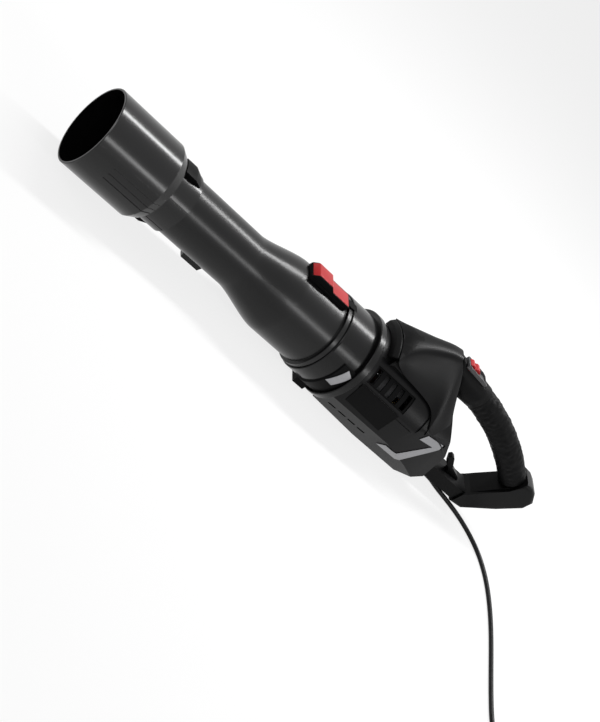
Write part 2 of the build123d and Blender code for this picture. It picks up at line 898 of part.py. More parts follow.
def hood_form(inset):
    """The hood's gabled form, moved inward by inset and cut along the casing's rear face."""
    with BuildPart() as form:
        for reach, skirt, shoulder, shoulder_height, crown in hood_stations:
            nudge = inset if reach == hood_front else 0
            with BuildSketch(body_section(reach + nudge)):
                with BuildLine():
                    Polyline(
                        (-shoulder + inset, shoulder_height - inset),
                        (-skirt + inset, hood_skirt),
                        (skirt - inset, hood_skirt),
                        (shoulder - inset, shoulder_height - inset),
                    )
                    ThreePointArc(
                        (shoulder - inset, shoulder_height - inset),
                        (0, crown - inset),
                        (-shoulder + inset, shoulder_height - inset),
                    )
                make_face()
        loft(ruled=True)
        under_grip = grip_crest_height - grip_half_height + hood_lift + inset
        prism(
            2 * casing_radius,
            (0, hood_skirt - 1),
            (0, 2 * casing_radius),
            (hood_back + 1, 2 * casing_radius),
            (hood_back + 1, under_grip - 2),
            (rear_face_reach(under_grip) - inset, under_grip),
            (rear_face_reach(hood_skirt - 1) - inset, hood_skirt - 1),
            plane=body_side, mode=Mode.INTERSECT,
        )
    return form.part


def grip_form(start_angle, end_angle, inset):
    """A bent elliptical rod between two angles past the crest."""
    tangent = (cos(radians(start_angle)), 0, -sin(radians(start_angle)))
    start = grip_point(start_angle)
    foot = (casing_x + start[0], 0, axis_height + start[1])
    with BuildPart() as form:
        with BuildLine(body_side) as bend:
            ThreePointArc(
                grip_point(start_angle), grip_point((start_angle + end_angle) / 2), grip_point(end_angle)
            )
        with BuildSketch(Plane(origin=foot, x_dir=(0, 1, 0), z_dir=tangent)):
            Ellipse(grip_half_width - inset, grip_half_height - inset)
        sweep(path=bend.line)
    return form.part


grip_front_angle = -2.0
sleeve_inset = sleeve_thickness + seat_gap
bar_top_angle = sleeve_end_angle + 0.4
bar_start = sleeve_end_reach - 41.0  # where the rear bar leaves the bridge
bar_outline = (
    (bar_start, bridge_bottom),
    (bar_start + 28, bridge_bottom + 3),
    (bar_rear - 22, sleeve_end_height - 44),
    (bar_rear, sleeve_end_height - 14),
    (bar_rear, sleeve_end_height - 1),
    (bar_rear - 11, sleeve_end_height + 9),
    (bar_rear - 22, sleeve_end_height + 13),
    grip_point(bar_top_angle, grip_half_height - 3),
    grip_point(bar_top_angle, 3 - grip_half_height),
    (bar_start + 11, bridge_top + 2),
    (bar_start, bridge_top),
)


def bar_form(inset):
    """The rear bar between the grip and the bridge."""
    with BuildPart() as form:
        with BuildSketch(body_side):
            with BuildLine():
                Polyline(*bar_outline, close=True)
            make_face()
            if inset:
                offset(amount=-inset, kind=Kind.INTERSECTION)
        extrude(amount=bar_half_width - inset, both=True)
    return form.part


def grown_bar(growth):
    """The rear bar with room round it for the bumper."""
    with BuildPart() as form:
        with BuildSketch(body_side):
            with BuildLine():
                Polyline(*bar_outline, close=True)
            make_face()
            offset(amount=growth, kind=Kind.INTERSECTION)
        extrude(amount=bar_half_width + growth, both=True)
    return form.part


bridge_front = belly_length + 3.0  # inside the casing's slanted rear face
bridge_rear = bar_start + 8.0
# reach, height and half-width of the bosses of the handle's screws
bar_screw_room = bar_half_width - 1.4
handle_screws = (
    (60, 86, 22),
    (*grip_point(14), 14.2),
    (bar_rear - 24, sleeve_end_height - 14, bar_screw_room),
    (bar_start + 4, (bridge_top + bridge_bottom) / 2, bar_screw_room),
)
handle_screw_seat = 8.0
handle_screw_tip = 10.0
sleeve_hollow = sleeve_inset + grip_wall

# frame of the power control: x runs along the sloping crest, y stands off it
control_reach = 110.0
control_height = grip_crest_height + 24.8
control_slope = 4.5
control_side = Plane(
    origin=(casing_x + control_reach, 0, axis_height + control_height),
    x_dir=(cos(radians(control_slope)), 0, -sin(radians(control_slope))),
    z_dir=(0, -1, 0),
)
bezel_depth = 4.0

handle_pieces = (
    hood_form(0),
    grip_form(grip_front_angle, sleeve_start_angle, 0),
    grip_form(sleeve_start_angle - 1, grip_bend_angle, sleeve_inset),
    bar_form(0),
)
handle_hollows = (
    hood_form(hood_wall),
    grip_form(grip_front_angle, sleeve_start_angle, sleeve_hollow),
    grip_form(sleeve_start_angle - 1, grip_bend_angle - 1, sleeve_hollow),
    bar_form(grip_wall),
)

with BuildPart() as sleeve_room:
    add(grip_form(sleeve_start_angle, sleeve_end_angle + 0.2, -seat_gap))
    add(grip_form(sleeve_start_angle - 1, sleeve_end_angle + 1, sleeve_inset), mode=Mode.SUBTRACT)

with BuildPart() as handle_form:
    for piece in handle_pieces:
        add(piece)
    add(sleeve_room.part, mode=Mode.SUBTRACT)
    prism(
        bridge_half_width,
        (bridge_front, bridge_bottom),
        (bridge_front, bridge_top),
        (bridge_rear, bridge_top),
        (bridge_rear, bridge_bottom),
        plane=body_side,
    )
    for hollow in handle_hollows:
        add(hollow, mode=Mode.SUBTRACT)
    prism(
        bridge_half_width - grip_wall,
        (bridge_front - 1, bridge_bottom + grip_wall),
        (bridge_front - 1, bridge_top - grip_wall),
        (bridge_rear + 2, bridge_top - grip_wall),
        (bridge_rear + 2, bridge_bottom + grip_wall),
        plane=body_side, mode=Mode.SUBTRACT,
    )
    for reach, height, half_width in handle_screws:
        crosswise(reach, height, boss_radius, -half_width, half_width)
    add(casing_seat, mode=Mode.SUBTRACT)
    add(panel_room.part, mode=Mode.SUBTRACT)
    # pocket of the power control
    prism(
        bezel_width / 2 + seat_gap,
        (-seat_gap, -bezel_depth - seat_gap),
        (-seat_gap, 20),
        (bezel_length + seat_gap, 20),
        (bezel_length + seat_gap, -bezel_depth - seat_gap),
        plane=control_side, mode=Mode.SUBTRACT,
    )
    for reach, height, half_width in handle_screws:
        crosswise(
            reach, height, screw_radius + seat_gap, -handle_screw_tip - 1, handle_screw_seat + 1,
            mode=Mode.SUBTRACT,
        )
        crosswise(
            reach, height, screw_head_radius + seat_gap, handle_screw_seat, casing_half_width,
            mode=Mode.SUBTRACT,
        )

for hand, keep in hands.items():
    with BuildPart() as handle_shell:
        add(handle_form.part)
        split(bisect_by=Plane.XZ, keep=keep)
    save(handle_shell, f"handle_shell_{hand}")

rim_back = hood_front - seat_gap
rim_front = rim_back - 9.0
rim_bore = casing_radius + seat_gap
with BuildPart() as hood_rim:
    sector(
        0, rim_half_angle,
        (rim_front, rim_bore),
        (rim_front + 2, rim_bore + 0.6 * rim_height),
        (rim_back - 2, rim_bore + rim_height),
        (rim_back, rim_bore + rim_height),
        (rim_back, rim_bore),
        origin_x=casing_x,
    )
save(hood_rim, "hood_rim")

with BuildPart() as grip_sleeve:
    add(grip_form(sleeve_start_angle + 0.05, sleeve_end_angle, 0))
    add(grip_form(sleeve_start_angle - 1, sleeve_end_angle + 1, sleeve_thickness), mode=Mode.SUBTRACT)
save(grip_sleeve, "grip_sleeve")

cheek_front = bridge_rear + seat_gap
bumper_room = grip_form(sleeve_start_angle, grip_bend_angle, -seat_gap)
with BuildPart() as rear_bumper:
    with BuildSketch(body_side):
        with BuildLine():
            Polyline(*bar_outline, close=True)
        make_face()
        offset(amount=bumper_thickness, kind=Kind.INTERSECTION)
    extrude(amount=bumper_half_width, both=True)
    fillet(rear_bumper.faces().sort_by(Axis.Y)[-1].edges(), radius=bumper_rounding)
    fillet(rear_bumper.faces().sort_by(Axis.Y)[0].edges(), radius=bumper_rounding)
    # the bumper covers the bar's sides and rear, and leaves the finger gap and the bridge alone
    prism(
        2 * bumper_half_width,
        (cheek_front, bridge_bottom - 10),
        (cheek_front, bridge_top - 1),
        (sleeve_end_reach + 3, sleeve_end_height - 8),
        (sleeve_end_reach + 11, sleeve_end_height + 22),
        (bar_rear + 10, sleeve_end_height + 22),
        (bar_rear + 10, bridge_bottom - 10),
        plane=body_side, mode=Mode.INTERSECT,
    )
    add(grown_bar(seat_gap), mode=Mode.SUBTRACT)
    add(bumper_room, mode=Mode.SUBTRACT)
save(rear_bumper, "rear_bumper")

hook_foot = bridge_top + seat_gap
with BuildPart() as cord_hook:
    prism(
        hook_width / 2,
        (261, hook_foot),
        (290, hook_foot),
        (284, -23),
        (264, -17),
        (250, -4),
        (244, -3),
        (241, -8),
        (250, -18),
        (261, -24),
        plane=body_side,
    )
    fillet(cord_hook.edges().filter_by(Axis.Y).group_by(Axis.Z)[-1], radius=1.5)
save(cord_hook, "cord_hook")

# ---------------------------------------------------------------------------------------------------
# Power control: bezel, slider and what the slider moves
# ---------------------------------------------------------------------------------------------------

bezel_floor = 2.0 - bezel_depth
bezel_wall = 1.8
slider_start = bezel_wall + slide_gap
slider_end = slider_start + slider_length
slider_base = bezel_floor + slide_gap
stem_start = slider_start + (slider_length - stem_length) / 2
stem_bottom = -bezel_depth - 8.0
carrier_height = 4.0
slider_room = bezel_length - 2 * bezel_wall

with BuildPart() as switch_bezel:
    prism(
        bezel_width / 2,
        (0, -bezel_depth), (0, 1), (1.5, bezel_height - 2), (bezel_length - 8, bezel_height - 2),
        (bezel_length, 0), (bezel_length, -bezel_depth),
        plane=control_side,
    )
    prism(
        bezel_width / 2 - bezel_wall,
        (bezel_wall, bezel_floor), (bezel_wall, 20), (bezel_wall + slider_room, 20),
        (bezel_wall + slider_room, bezel_floor),
        plane=control_side, mode=Mode.SUBTRACT,
    )
    prism(
        stem_width / 2 + slide_gap,
        (stem_start - slide_gap, -20),
        (stem_start - slide_gap, 20),
        (stem_start + stem_length + slider_travel + slide_gap, 20),
        (stem_start + stem_length + slider_travel + slide_gap, -20),
        plane=control_side, mode=Mode.SUBTRACT,
    )
save(switch_bezel, "switch_bezel")

with BuildPart() as power_slider:
    prism(
        slider_width / 2,
        (slider_start, slider_base),
        (slider_start, slider_height - 3),
        (slider_start + 0.15 * slider_length, slider_height - 0.6),
        (slider_start + 0.30 * slider_length, slider_height - 0.6),
        (slider_start + 0.45 * slider_length, slider_height - 3),
        (slider_start + 0.60 * slider_length, slider_height),
        (slider_start + 0.80 * slider_length, slider_height),
        (slider_end, slider_height - 3),
        (slider_end, slider_base),
        plane=control_side,
    )
    prism(
        stem_width / 2,
        (stem_start, stem_bottom),
        (stem_start, slider_base + 1),
        (stem_start + stem_length, slider_base + 1),
        (stem_start + stem_length, stem_bottom),
        plane=control_side,
    )
save(power_slider, "power_slider")

carrier_top = stem_bottom - skin_gap
with BuildPart() as slider_carrier:
    prism(
        stem_width,
        (stem_start - 3, carrier_top - carrier_height),
        (stem_start - 3, carrier_top),
        (stem_start + stem_length + 3, carrier_top),
        (stem_start + stem_length + 3, carrier_top - carrier_height),
        plane=control_side,
    )
save(slider_carrier, "slider_carrier")

switch_top = carrier_top - carrier_height - slide_gap
switch_height = 14.0
with BuildPart() as switch_module:
    prism(
        8,
        (5, switch_top - switch_height),
        (5, switch_top),
        (36, switch_top),
        (36, switch_top - switch_height),
        plane=control_side,
    )
save(switch_module, "switch_module")

# ---------------------------------------------------------------------------------------------------
# Fan, its guide vanes and the shaft
# ---------------------------------------------------------------------------------------------------

fit_gap = 0.02  # between pieces that are pressed together
fan_front = barrel_front + fan_setback
fan_rear = fan_front + fan_width
fan_tip = fan_bore - fan_tip_gap
bore_on_shaft = shaft_radius + fit_gap
hub_wall = 2.5
vane_front = fan_rear + 1.5
bearing_seat = bearing_radius + fit_gap
front_bearing_start = vane_front + hub_wall + 0.5
rear_bearing_start = bracket_front + bracket_thickness
nut_length = 6.5

with BuildPart() as fan_wheel:
    turned(
        (fan_front, bore_on_shaft),
        (fan_front, fan_hub_radius - 3),
        (fan_front + 3, fan_hub_radius),
        (fan_rear, fan_hub_radius),
        (fan_rear, fan_hub_radius - hub_wall),
        (fan_front + 5, fan_hub_radius - hub_wall),
        (fan_front + 5, 2 * shaft_radius + 1),
        (fan_front + 14, 2 * shaft_radius + 1),
        (fan_front + 14, bore_on_shaft),
    )
    for number in range(blade_count):
        turn = number * 360 / blade_count
        outward = (0, -sin(radians(turn)), cos(radians(turn)))
        for radius, chord, stagger in ((fan_hub_radius - 2, 26, 36), (fan_tip + 1, 30, 60)):
            middle = (
                mouth_x + (fan_front + fan_rear) / 2,
                radius * outward[1],
                axis_height + radius * outward[2],
            )
            with BuildSketch(Plane(origin=middle, x_dir=(1, 0, 0), z_dir=outward)):
                Rectangle(chord, blade_thickness, rotation=stagger)
        loft()
    ring(fan_front, fan_rear, 0, fan_tip, mode=Mode.INTERSECT)
save(fan_wheel, "fan_wheel")

with BuildPart() as guide_vanes:
    turned(
        (vane_front, shaft_radius + 1),
        (vane_front, motor_hub_radius),
        (vane_front + 24, motor_hub_radius),
        (vane_front + 24, motor_hub_radius - hub_wall),
        (vane_front + hub_wall, motor_hub_radius - hub_wall),
        (vane_front + hub_wall, bearing_seat + hub_wall),
        (front_bearing_start + bearing_width, bearing_seat + hub_wall),
        (front_bearing_start + bearing_width, bearing_seat),
        (front_bearing_start, bearing_seat),
        (front_bearing_start, shaft_radius + 1),
    )
    ring(vane_front, vane_front + vane_length, fan_bore - seat_gap - vane_ring_wall, fan_bore - seat_gap)
    for number in range(vane_count):
        sector(
            number * 360 / vane_count + 12, degrees(vane_thickness / 2 / 40),
            (vane_front + 0.5, motor_hub_radius - 1),
            (vane_front + 0.5, fan_bore - vane_ring_wall + 1),
            (vane_front + vane_length - 0.5, fan_bore - vane_ring_wall + 1),
            (vane_front + vane_length - 0.5, motor_hub_radius - 1),
        )
save(guide_vanes, "guide_vanes")

shaft_front = fan_front - nut_length - 2
shaft_rear = rear_bearing_start + bearing_width + 2
with BuildPart() as motor_shaft:
    ring(shaft_front, shaft_rear, 0, shaft_radius)
    chamfer(motor_shaft.edges().filter_by(GeomType.CIRCLE), length=0.6)
save(motor_shaft, "motor_shaft")

with BuildPart() as fan_nut:
    with BuildSketch(body_section(fan_front - nut_length - casing_front)) as hexagon:
        RegularPolygon(radius=7.5, side_count=6)
        Circle(bore_on_shaft, mode=Mode.SUBTRACT)
    extrude(hexagon.sketch, amount=nut_length - fit_gap)
save(fan_nut, "fan_nut")

for label, start in (("front_bearing", front_bearing_start), ("rear_bearing", rear_bearing_start)):
    with BuildPart() as bearing:
        inner_race = shaft_radius + 2
        outer_race = bearing_radius - 2
        turned(
            (start + fit_gap, shaft_radius + running_gap),
            (start + fit_gap, inner_race),
            (start + 0.8, inner_race),
            (start + 0.8, outer_race),
            (start + fit_gap, outer_race),
            (start + fit_gap, bearing_radius),
            (start + bearing_width, bearing_radius),
            (start + bearing_width, outer_race),
            (start + bearing_width - 0.8, outer_race),
            (start + bearing_width - 0.8, inner_race),
            (start + bearing_width, inner_race),
            (start + bearing_width, shaft_radius + running_gap),
        )
    save(bearing, label)

# ---------------------------------------------------------------------------------------------------
# Motor: armature on the shaft, stator held by the casing, brushes on the rear bracket
# ---------------------------------------------------------------------------------------------------

armature_radius = stator_bore - air_gap
armature_slots = 12
with BuildPart() as armature_stack:
    ring(stator_front, stator_rear, bore_on_shaft, armature_radius)
    for number in range(armature_slots):
        sector(
            number * 360 / armature_slots, 2.5,
            (stator_front - 1, armature_radius - 8),
            (stator_front - 1, armature_radius + 1),
            (stator_rear + 1, armature_radius + 1),
            (stator_rear + 1, armature_radius - 8),
            mode=Mode.SUBTRACT,
        )
save(armature_stack, "armature_stack")

with BuildPart() as armature_windings:
    for start, end in (
        (stator_front - winding_overhang, stator_front - fit_gap),
        (stator_rear + fit_gap, stator_rear + winding_overhang),
    ):
        ring(start, end, bore_on_shaft, armature_radius - 3)
    chamfer(armature_windings.edges().filter_by(GeomType.CIRCLE).group_by(Axis.X)[0][-1:], length=2)
save(armature_windings, "armature_windings")

commutator_rear = commutator_front + commutator_length
with BuildPart() as commutator:
    ring(commutator_front, commutator_rear, bore_on_shaft, commutator_radius)
    for number in range(2 * armature_slots):
        sector(
            number * 180 / armature_slots, 1,
            (commutator_front - 1, commutator_radius - 1),
            (commutator_front - 1, commutator_radius + 1),
            (commutator_rear - 2, commutator_radius + 1),
            (commutator_rear - 2, commutator_radius - 1),
            mode=Mode.SUBTRACT,
        )
save(commutator, "commutator")

stator_screw_angles = (45, -135)
stator_screw_radius = stator_radius - stator_rim / 2


def stator_screw(angle, radius, start, end, mode=Mode.ADD):
    """A round pin along the motor, at an angle on the stator's rim."""
    with BuildSketch(body_section(start - casing_front)) as spot:
        with Locations((-stator_screw_radius * sin(radians(angle)), stator_screw_radius * cos(radians(angle)))):
            Circle(radius)
    extrude(spot.sketch, amount=end - start, mode=mode)


with BuildPart() as stator_stack:
    ring(stator_front, stator_rear, stator_radius - stator_rim, stator_radius)
    for pole_angle in (90, -90):
        sector(
            pole_angle, pole_half_angle,
            (stator_front, stator_bore),
            (stator_front, stator_radius - stator_rim + 1),
            (stator_rear, stator_radius - stator_rim + 1),
            (stator_rear, stator_bore),
        )
    for angle in stator_screw_angles:
        stator_screw(angle, screw_radius + skin_gap, stator_front - 1, stator_rear + 1, mode=Mode.SUBTRACT)
save(stator_stack, "stator_stack")

with BuildPart() as field_coils:
    for coil_angle in (0, 180):
        sector(
            coil_angle, 88 - pole_half_angle,
            (stator_front - winding_overhang, stator_bore + 1.5),
            (stator_front - winding_overhang, stator_radius - stator_rim - skin_gap),
            (stator_rear + winding_overhang, stator_radius - stator_rim - skin_gap),
            (stator_rear + winding_overhang, stator_bore + 1.5),
        )
save(field_coils, "field_coils")

bracket_radius = stator_radius - 1
holder_outer = 32.0
with BuildPart() as motor_end_bracket:
    turned(
        (bracket_front, shaft_radius + 1),
        (bracket_front, boss_outer + 2),
        (bracket_front + bracket_thickness, boss_outer + 2),
        (bracket_front + bracket_thickness, boss_outer),
        (rear_bearing_start + bearing_width, boss_outer),
        (rear_bearing_start + bearing_width, bearing_seat),
        (rear_bearing_start, bearing_seat),
        (rear_bearing_start, shaft_radius + 1),
    )
    for angle in (0, 45, 90, 180, -135, -90):
        sector(
            angle, 9,
            (bracket_front, boss_outer),
            (bracket_front, bracket_radius),
            (bracket_front + bracket_thickness, bracket_radius),
            (bracket_front + bracket_thickness, boss_outer),
        )
    # legs against the stator, and shelves that carry the brush holders
    for angle in stator_screw_angles:
        sector(
            angle, 9,
            (stator_rear + seat_gap, bracket_radius - 6),
            (stator_rear + seat_gap, bracket_radius),
            (bracket_front + 1, bracket_radius),
            (bracket_front + 1, bracket_radius - 6),
        )
        stator_screw(angle, screw_radius + skin_gap, stator_rear, bracket_front + 5, mode=Mode.SUBTRACT)
    for angle in (90, -90):
        sector(
            angle, 9,
            (commutator_front, holder_outer + 1),
            (commutator_front, holder_outer + 4),
            (bracket_front + 1, holder_outer + 4),
            (bracket_front + 1, holder_outer + 1),
        )
save(motor_end_bracket, "motor_end_bracket")

with BuildPart() as stator_screws:
    for angle in stator_screw_angles:
        stator_screw(angle, screw_radius, stator_front - 2, bracket_front + bracket_thickness)
        stator_screw(
            angle, screw_head_radius,
            bracket_front + bracket_thickness + skin_gap - fit_gap,
            bracket_front + bracket_thickness + screw_head_length,
        )
save(stator_screws, "stator_screws")

with BuildPart() as motor_bumper:
    ring(
        collar_station, rear_bearing_start + bearing_width,
        boss_outer + fit_gap, rubber_radius,
    )
save(motor_bumper, "motor_bumper")

brush_station = commutator_front + commutator_length / 2
brush_inner = commutator_radius + 0.1
holder_inner = commutator_radius + 2.0


def brush_block(half_width, half_height, inner, outer, sign, mode=Mode.ADD):
    """A block that points at the commutator from one side."""
    prism(
        (outer - inner) / 2,
        (brush_station - half_width, -half_height),
        (brush_station - half_width, half_height),
        (brush_station + half_width, half_height),
        (brush_station + half_width, -half_height),
        middle=sign * (outer + inner) / 2, mode=mode,
    )


with BuildPart() as carbon_brushes:
    for sign in (1, -1):
        brush_block(brush_width / 2, brush_height / 2, brush_inner, brush_inner + brush_length, sign)
save(carbon_brushes, "carbon_brushes")

holder_half_width = brush_width / 2 + brush_holder_wall + skin_gap
holder_half_height = brush_height / 2 + brush_holder_wall + skin_gap
with BuildPart() as brush_holders:
    for sign in (1, -1):
        brush_block(holder_half_width, holder_half_height, holder_inner, holder_outer, sign)
        brush_block(
            brush_width / 2 + skin_gap, brush_height / 2 + skin_gap, holder_inner - 1, holder_outer - 1.5,
            sign, mode=Mode.SUBTRACT,
        )
save(brush_holders, "brush_holders")

# ---------------------------------------------------------------------------------------------------
# Electrics in the casing's tail, and the screws
# ---------------------------------------------------------------------------------------------------

electrics_reach = collar_station - casing_front + 14.0
wire_reach = cable_way[0] + 10
wire_radius = 1.1
board_length = 34.0
board_bottom = 18.0 - axis_height
board_top = board_bottom + 1.6
block_foot = board_top + seat_gap
block_top = block_foot + 15.0
capacitor_front = electrics_reach + 17.0

with BuildPart() as control_board:
    prism(
        20,
        (electrics_reach, board_bottom), (electrics_reach, board_top),
        (electrics_reach + board_length, board_top), (electrics_reach + board_length, board_bottom),
        plane=body_side,
    )
save(control_board, "control_board")

with BuildPart() as terminal_block:
    prism(
        11,
        (electrics_reach, block_foot), (electrics_reach, block_top),
        (electrics_reach + 14, block_top), (electrics_reach + 14, block_foot),
        plane=body_side,
    )
save(terminal_block, "terminal_block")

with BuildPart() as suppressor_capacitor:
    prism(
        9,
        (capacitor_front, block_foot), (capacitor_front, block_foot + 18),
        (capacitor_front + 13, block_foot + 18), (capacitor_front + 13, block_foot),
        plane=body_side,
    )
save(suppressor_capacitor, "suppressor_capacitor")

with BuildPart() as cord_clamp:
    prism(
        12,
        (guard_reach - 14, lead_height + 4), (guard_reach - 14, lead_height + 8),
        (guard_reach - 6, lead_height + 8), (guard_reach - 6, lead_height + 4),
        plane=body_side,
    )
save(cord_clamp, "cord_clamp")

switch_bottom = control_side.from_local_coords(Vector(wire_reach - control_reach, switch_top - switch_height, 0))
with BuildPart() as internal_leads:
    for offset_y in (-4, 4):
        with BuildLine(body_side.offset(offset_y)) as route:
            FilletPolyline(
                (electrics_reach + 7, block_top + seat_gap),
                (electrics_reach + 7, 25),
                (wire_reach, 45),
                (wire_reach, switch_bottom.Z - axis_height - 1),
                radius=8,
            )
        with BuildSketch(Plane(origin=route.line @ 0, z_dir=route.line % 0)):
            Circle(wire_radius)
        sweep(path=route.line)
save(internal_leads, "internal_leads")

with BuildPart() as housing_screws:
    for reach, height in casing_screws:
        crosswise(reach, height, screw_radius, -screw_tip, screw_seat + 1)
        crosswise(reach, height, screw_head_radius, screw_seat + skin_gap, screw_seat + screw_head_length)
    for reach, height, half_width in handle_screws:
        crosswise(reach, height, screw_radius, -handle_screw_tip, handle_screw_seat + 1)
        crosswise(
            reach, height, screw_head_radius,
            handle_screw_seat + skin_gap, handle_screw_seat + screw_head_length,
        )
save(housing_screws, "housing_screws")

# ---------------------------------------------------------------------------------------------------
# Mains lead: guard at the foot of the casing, the lead on the floor, and the plug
# ---------------------------------------------------------------------------------------------------

guard_front = casing_x + guard_reach
lead_exit = Vector(guard_front + guard_length, 0, axis_height + lead_height)
lead_radius = lead_diameter / 2

with BuildPart() as cord_guard:
    with BuildSketch(body_section(guard_reach)):
        with Locations((0, lead_height)):
            Circle(guard_root_radius)
    with BuildSketch(body_section(guard_reach + guard_length)):
        with Locations((0, lead_height)):
            Circle(guard_tip_radius)
    loft()
save(cord_guard, "cord_guard")

# the route, from the guard's tip: dX, dY, dZ
lead_drop = lead_exit.Z - lead_radius - 0.05
lead_route = (
    (0, 0, 0),
    (17, 0, 0),
    (38, -1.5, -lead_drop + 0.6),
    (64, -8, -lead_drop),
    (93, -20, -lead_drop),
    (118, -38, -lead_drop),
    (136, -60, -lead_drop),
    (146, -84, -lead_drop),
    (151, -110, -lead_drop),
    (152, -140, -lead_drop),
    (150, -174, -lead_drop),
    (145, -212, -lead_drop),
    (138, -254, -lead_drop),
    (131, -298, -lead_drop),
    (126, -340, -lead_drop),
    (126, -372, 2.0 - lead_drop),
    (126, -398, 7.35 - lead_drop),
    (126, -424, 7.35 - lead_drop),
)
lead_points = [lead_exit + Vector(*step) for step in lead_route]
lead_radii = []
for before, corner, after in zip(lead_points, lead_points[1:], lead_points[2:]):
    arriving = corner - before
    leaving = after - corner
    bend = radians(arriving.get_angle(leaving))
    lead_radii.append(0.45 * min(arriving.length, leaving.length) / tan(bend / 2))
print("radii of the lead:", [round(radius) for radius in lead_radii])

with BuildPart() as mains_lead:
    with BuildLine() as lead_path:
        FilletPolyline(*lead_points, radius=lead_radii)
    with BuildSketch(Plane(origin=lead_path.line @ 0, z_dir=lead_path.line % 0)):
        Circle(lead_radius)
    sweep(path=lead_path.line)
lead_length = lead_path.wires()[0].length
print("length of the lead:", round(lead_length))
print("its volume over section times length:", mains_lead.part.volume / (pi * lead_radius**2 * lead_length))
save(mains_lead, "mains_lead")

plug_front = lead_points[-1]
plug_sections = (
    (0, 11, 11),
    (14, 13, 12),
    (22, plug_width, plug_thickness),
    (plug_length, plug_width, plug_thickness),
)
with BuildPart() as plug_body:
    for distance, width, height in plug_sections:
        with BuildSketch(Plane(origin=plug_front - Vector(0, distance, 0), x_dir=(1, 0, 0), z_dir=(0, -1, 0))):
            RectangleRounded(width, height, 0.45 * height)
    loft(ruled=True)
save(plug_body, "plug_body")

with BuildPart() as plug_pins:
    with BuildSketch(
        Plane(origin=plug_front - Vector(0, plug_length, 0), x_dir=(1, 0, 0), z_dir=(0, -1, 0))
    ):
        with GridLocations(pin_pitch, 1, 2, 1):
            Circle(pin_radius)
    extrude(amount=pin_length)
save(plug_pins, "plug_pins")
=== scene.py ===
from math import pi, radians

import bmesh
import bpy
from mathutils import Matrix, Vector, noise


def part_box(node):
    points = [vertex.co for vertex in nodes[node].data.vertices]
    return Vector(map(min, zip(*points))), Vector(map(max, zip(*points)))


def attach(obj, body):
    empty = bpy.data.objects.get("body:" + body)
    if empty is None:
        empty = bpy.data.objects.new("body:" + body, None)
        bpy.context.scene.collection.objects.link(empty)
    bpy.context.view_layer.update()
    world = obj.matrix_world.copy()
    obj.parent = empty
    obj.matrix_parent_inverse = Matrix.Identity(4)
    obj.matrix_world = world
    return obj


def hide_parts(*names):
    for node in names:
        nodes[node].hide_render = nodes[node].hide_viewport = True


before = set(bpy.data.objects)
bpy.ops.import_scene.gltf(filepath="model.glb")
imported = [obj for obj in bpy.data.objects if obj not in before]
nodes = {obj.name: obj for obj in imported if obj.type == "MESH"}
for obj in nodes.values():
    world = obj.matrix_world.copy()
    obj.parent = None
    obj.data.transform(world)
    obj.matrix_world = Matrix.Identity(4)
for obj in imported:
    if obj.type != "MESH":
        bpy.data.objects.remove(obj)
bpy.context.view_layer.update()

# ---------------------------------------------------------------------------------------------------
# Camera: it stands ahead of the tool and above it, on the left, rolled so that the tool rises to the
# upper left.
# ---------------------------------------------------------------------------------------------------

camera_data = bpy.data.cameras.new("studio_camera")
camera_data.lens = 74.8
camera_data.sensor_width = 36.0
camera_data.clip_end = 20.0
camera = bpy.data.objects.new("studio_camera", camera_data)
camera.location = (-1.0468, -1.4028, 0.8817)
camera.rotation_euler = (radians(45.50), radians(-50.73), radians(0.24))
bpy.context.scene.collection.objects.link(camera)
bpy.context.scene.camera = camera

# ---------------------------------------------------------------------------------------------------
# Mains lead: a round two-core lead in a black rubber sheath. It leaves the guard below the handle's
# bridge, drops to the floor and runs round to its plug.
# ---------------------------------------------------------------------------------------------------

guard_low, guard_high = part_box("cord_guard")
lead_diameter = 0.0068
lead_exit = Vector((guard_high[0], 0, (guard_low[2] + guard_high[2]) / 2))
floor_gap = 0.00005
lead_drop = lead_exit.z - lead_diameter / 2 - floor_gap
plug_rise = 0.00735  # the lead rises off the floor by this much to enter the plug
# steps from the guard's tip: along the tool, to the right, up
lead_route = (
    (0, 0, 0),
    (0.017, 0, 0),
    (0.038, -0.0015, 0.0006 - lead_drop),
    (0.064, -0.008, -lead_drop),
    (0.093, -0.020, -lead_drop),
    (0.118, -0.038, -lead_drop),
    (0.136, -0.060, -lead_drop),
    (0.146, -0.084, -lead_drop),
    (0.151, -0.110, -lead_drop),
    (0.152, -0.140, -lead_drop),
    (0.150, -0.174, -lead_drop),
    (0.145, -0.212, -lead_drop),
    (0.138, -0.254, -lead_drop),
    (0.131, -0.298, -lead_drop),
    (0.126, -0.340, -lead_drop),
    (0.126, -0.372, 0.002 - lead_drop),
    (0.126, -0.398, plug_rise - lead_drop),
    (0.126, -0.424, plug_rise - lead_drop),
)
lead_curve = bpy.data.curves.new("mains_lead", "CURVE")
lead_curve.dimensions = "3D"
lead_curve.bevel_depth = lead_diameter / 2
lead_curve.bevel_resolution = 6
lead_curve.resolution_u = 10
lead_curve.use_fill_caps = True
lead_line = lead_curve.splines.new("NURBS")
lead_line.points.add(len(lead_route) - 1)
for point, step in zip(lead_line.points, lead_route):
    point.co = (*(lead_exit + Vector(step)), 1)
lead_line.order_u = 3
lead_line.use_endpoint_u = True
lead = bpy.data.objects.new("mains_lead_sheath", lead_curve)
bpy.context.scene.collection.objects.link(lead)


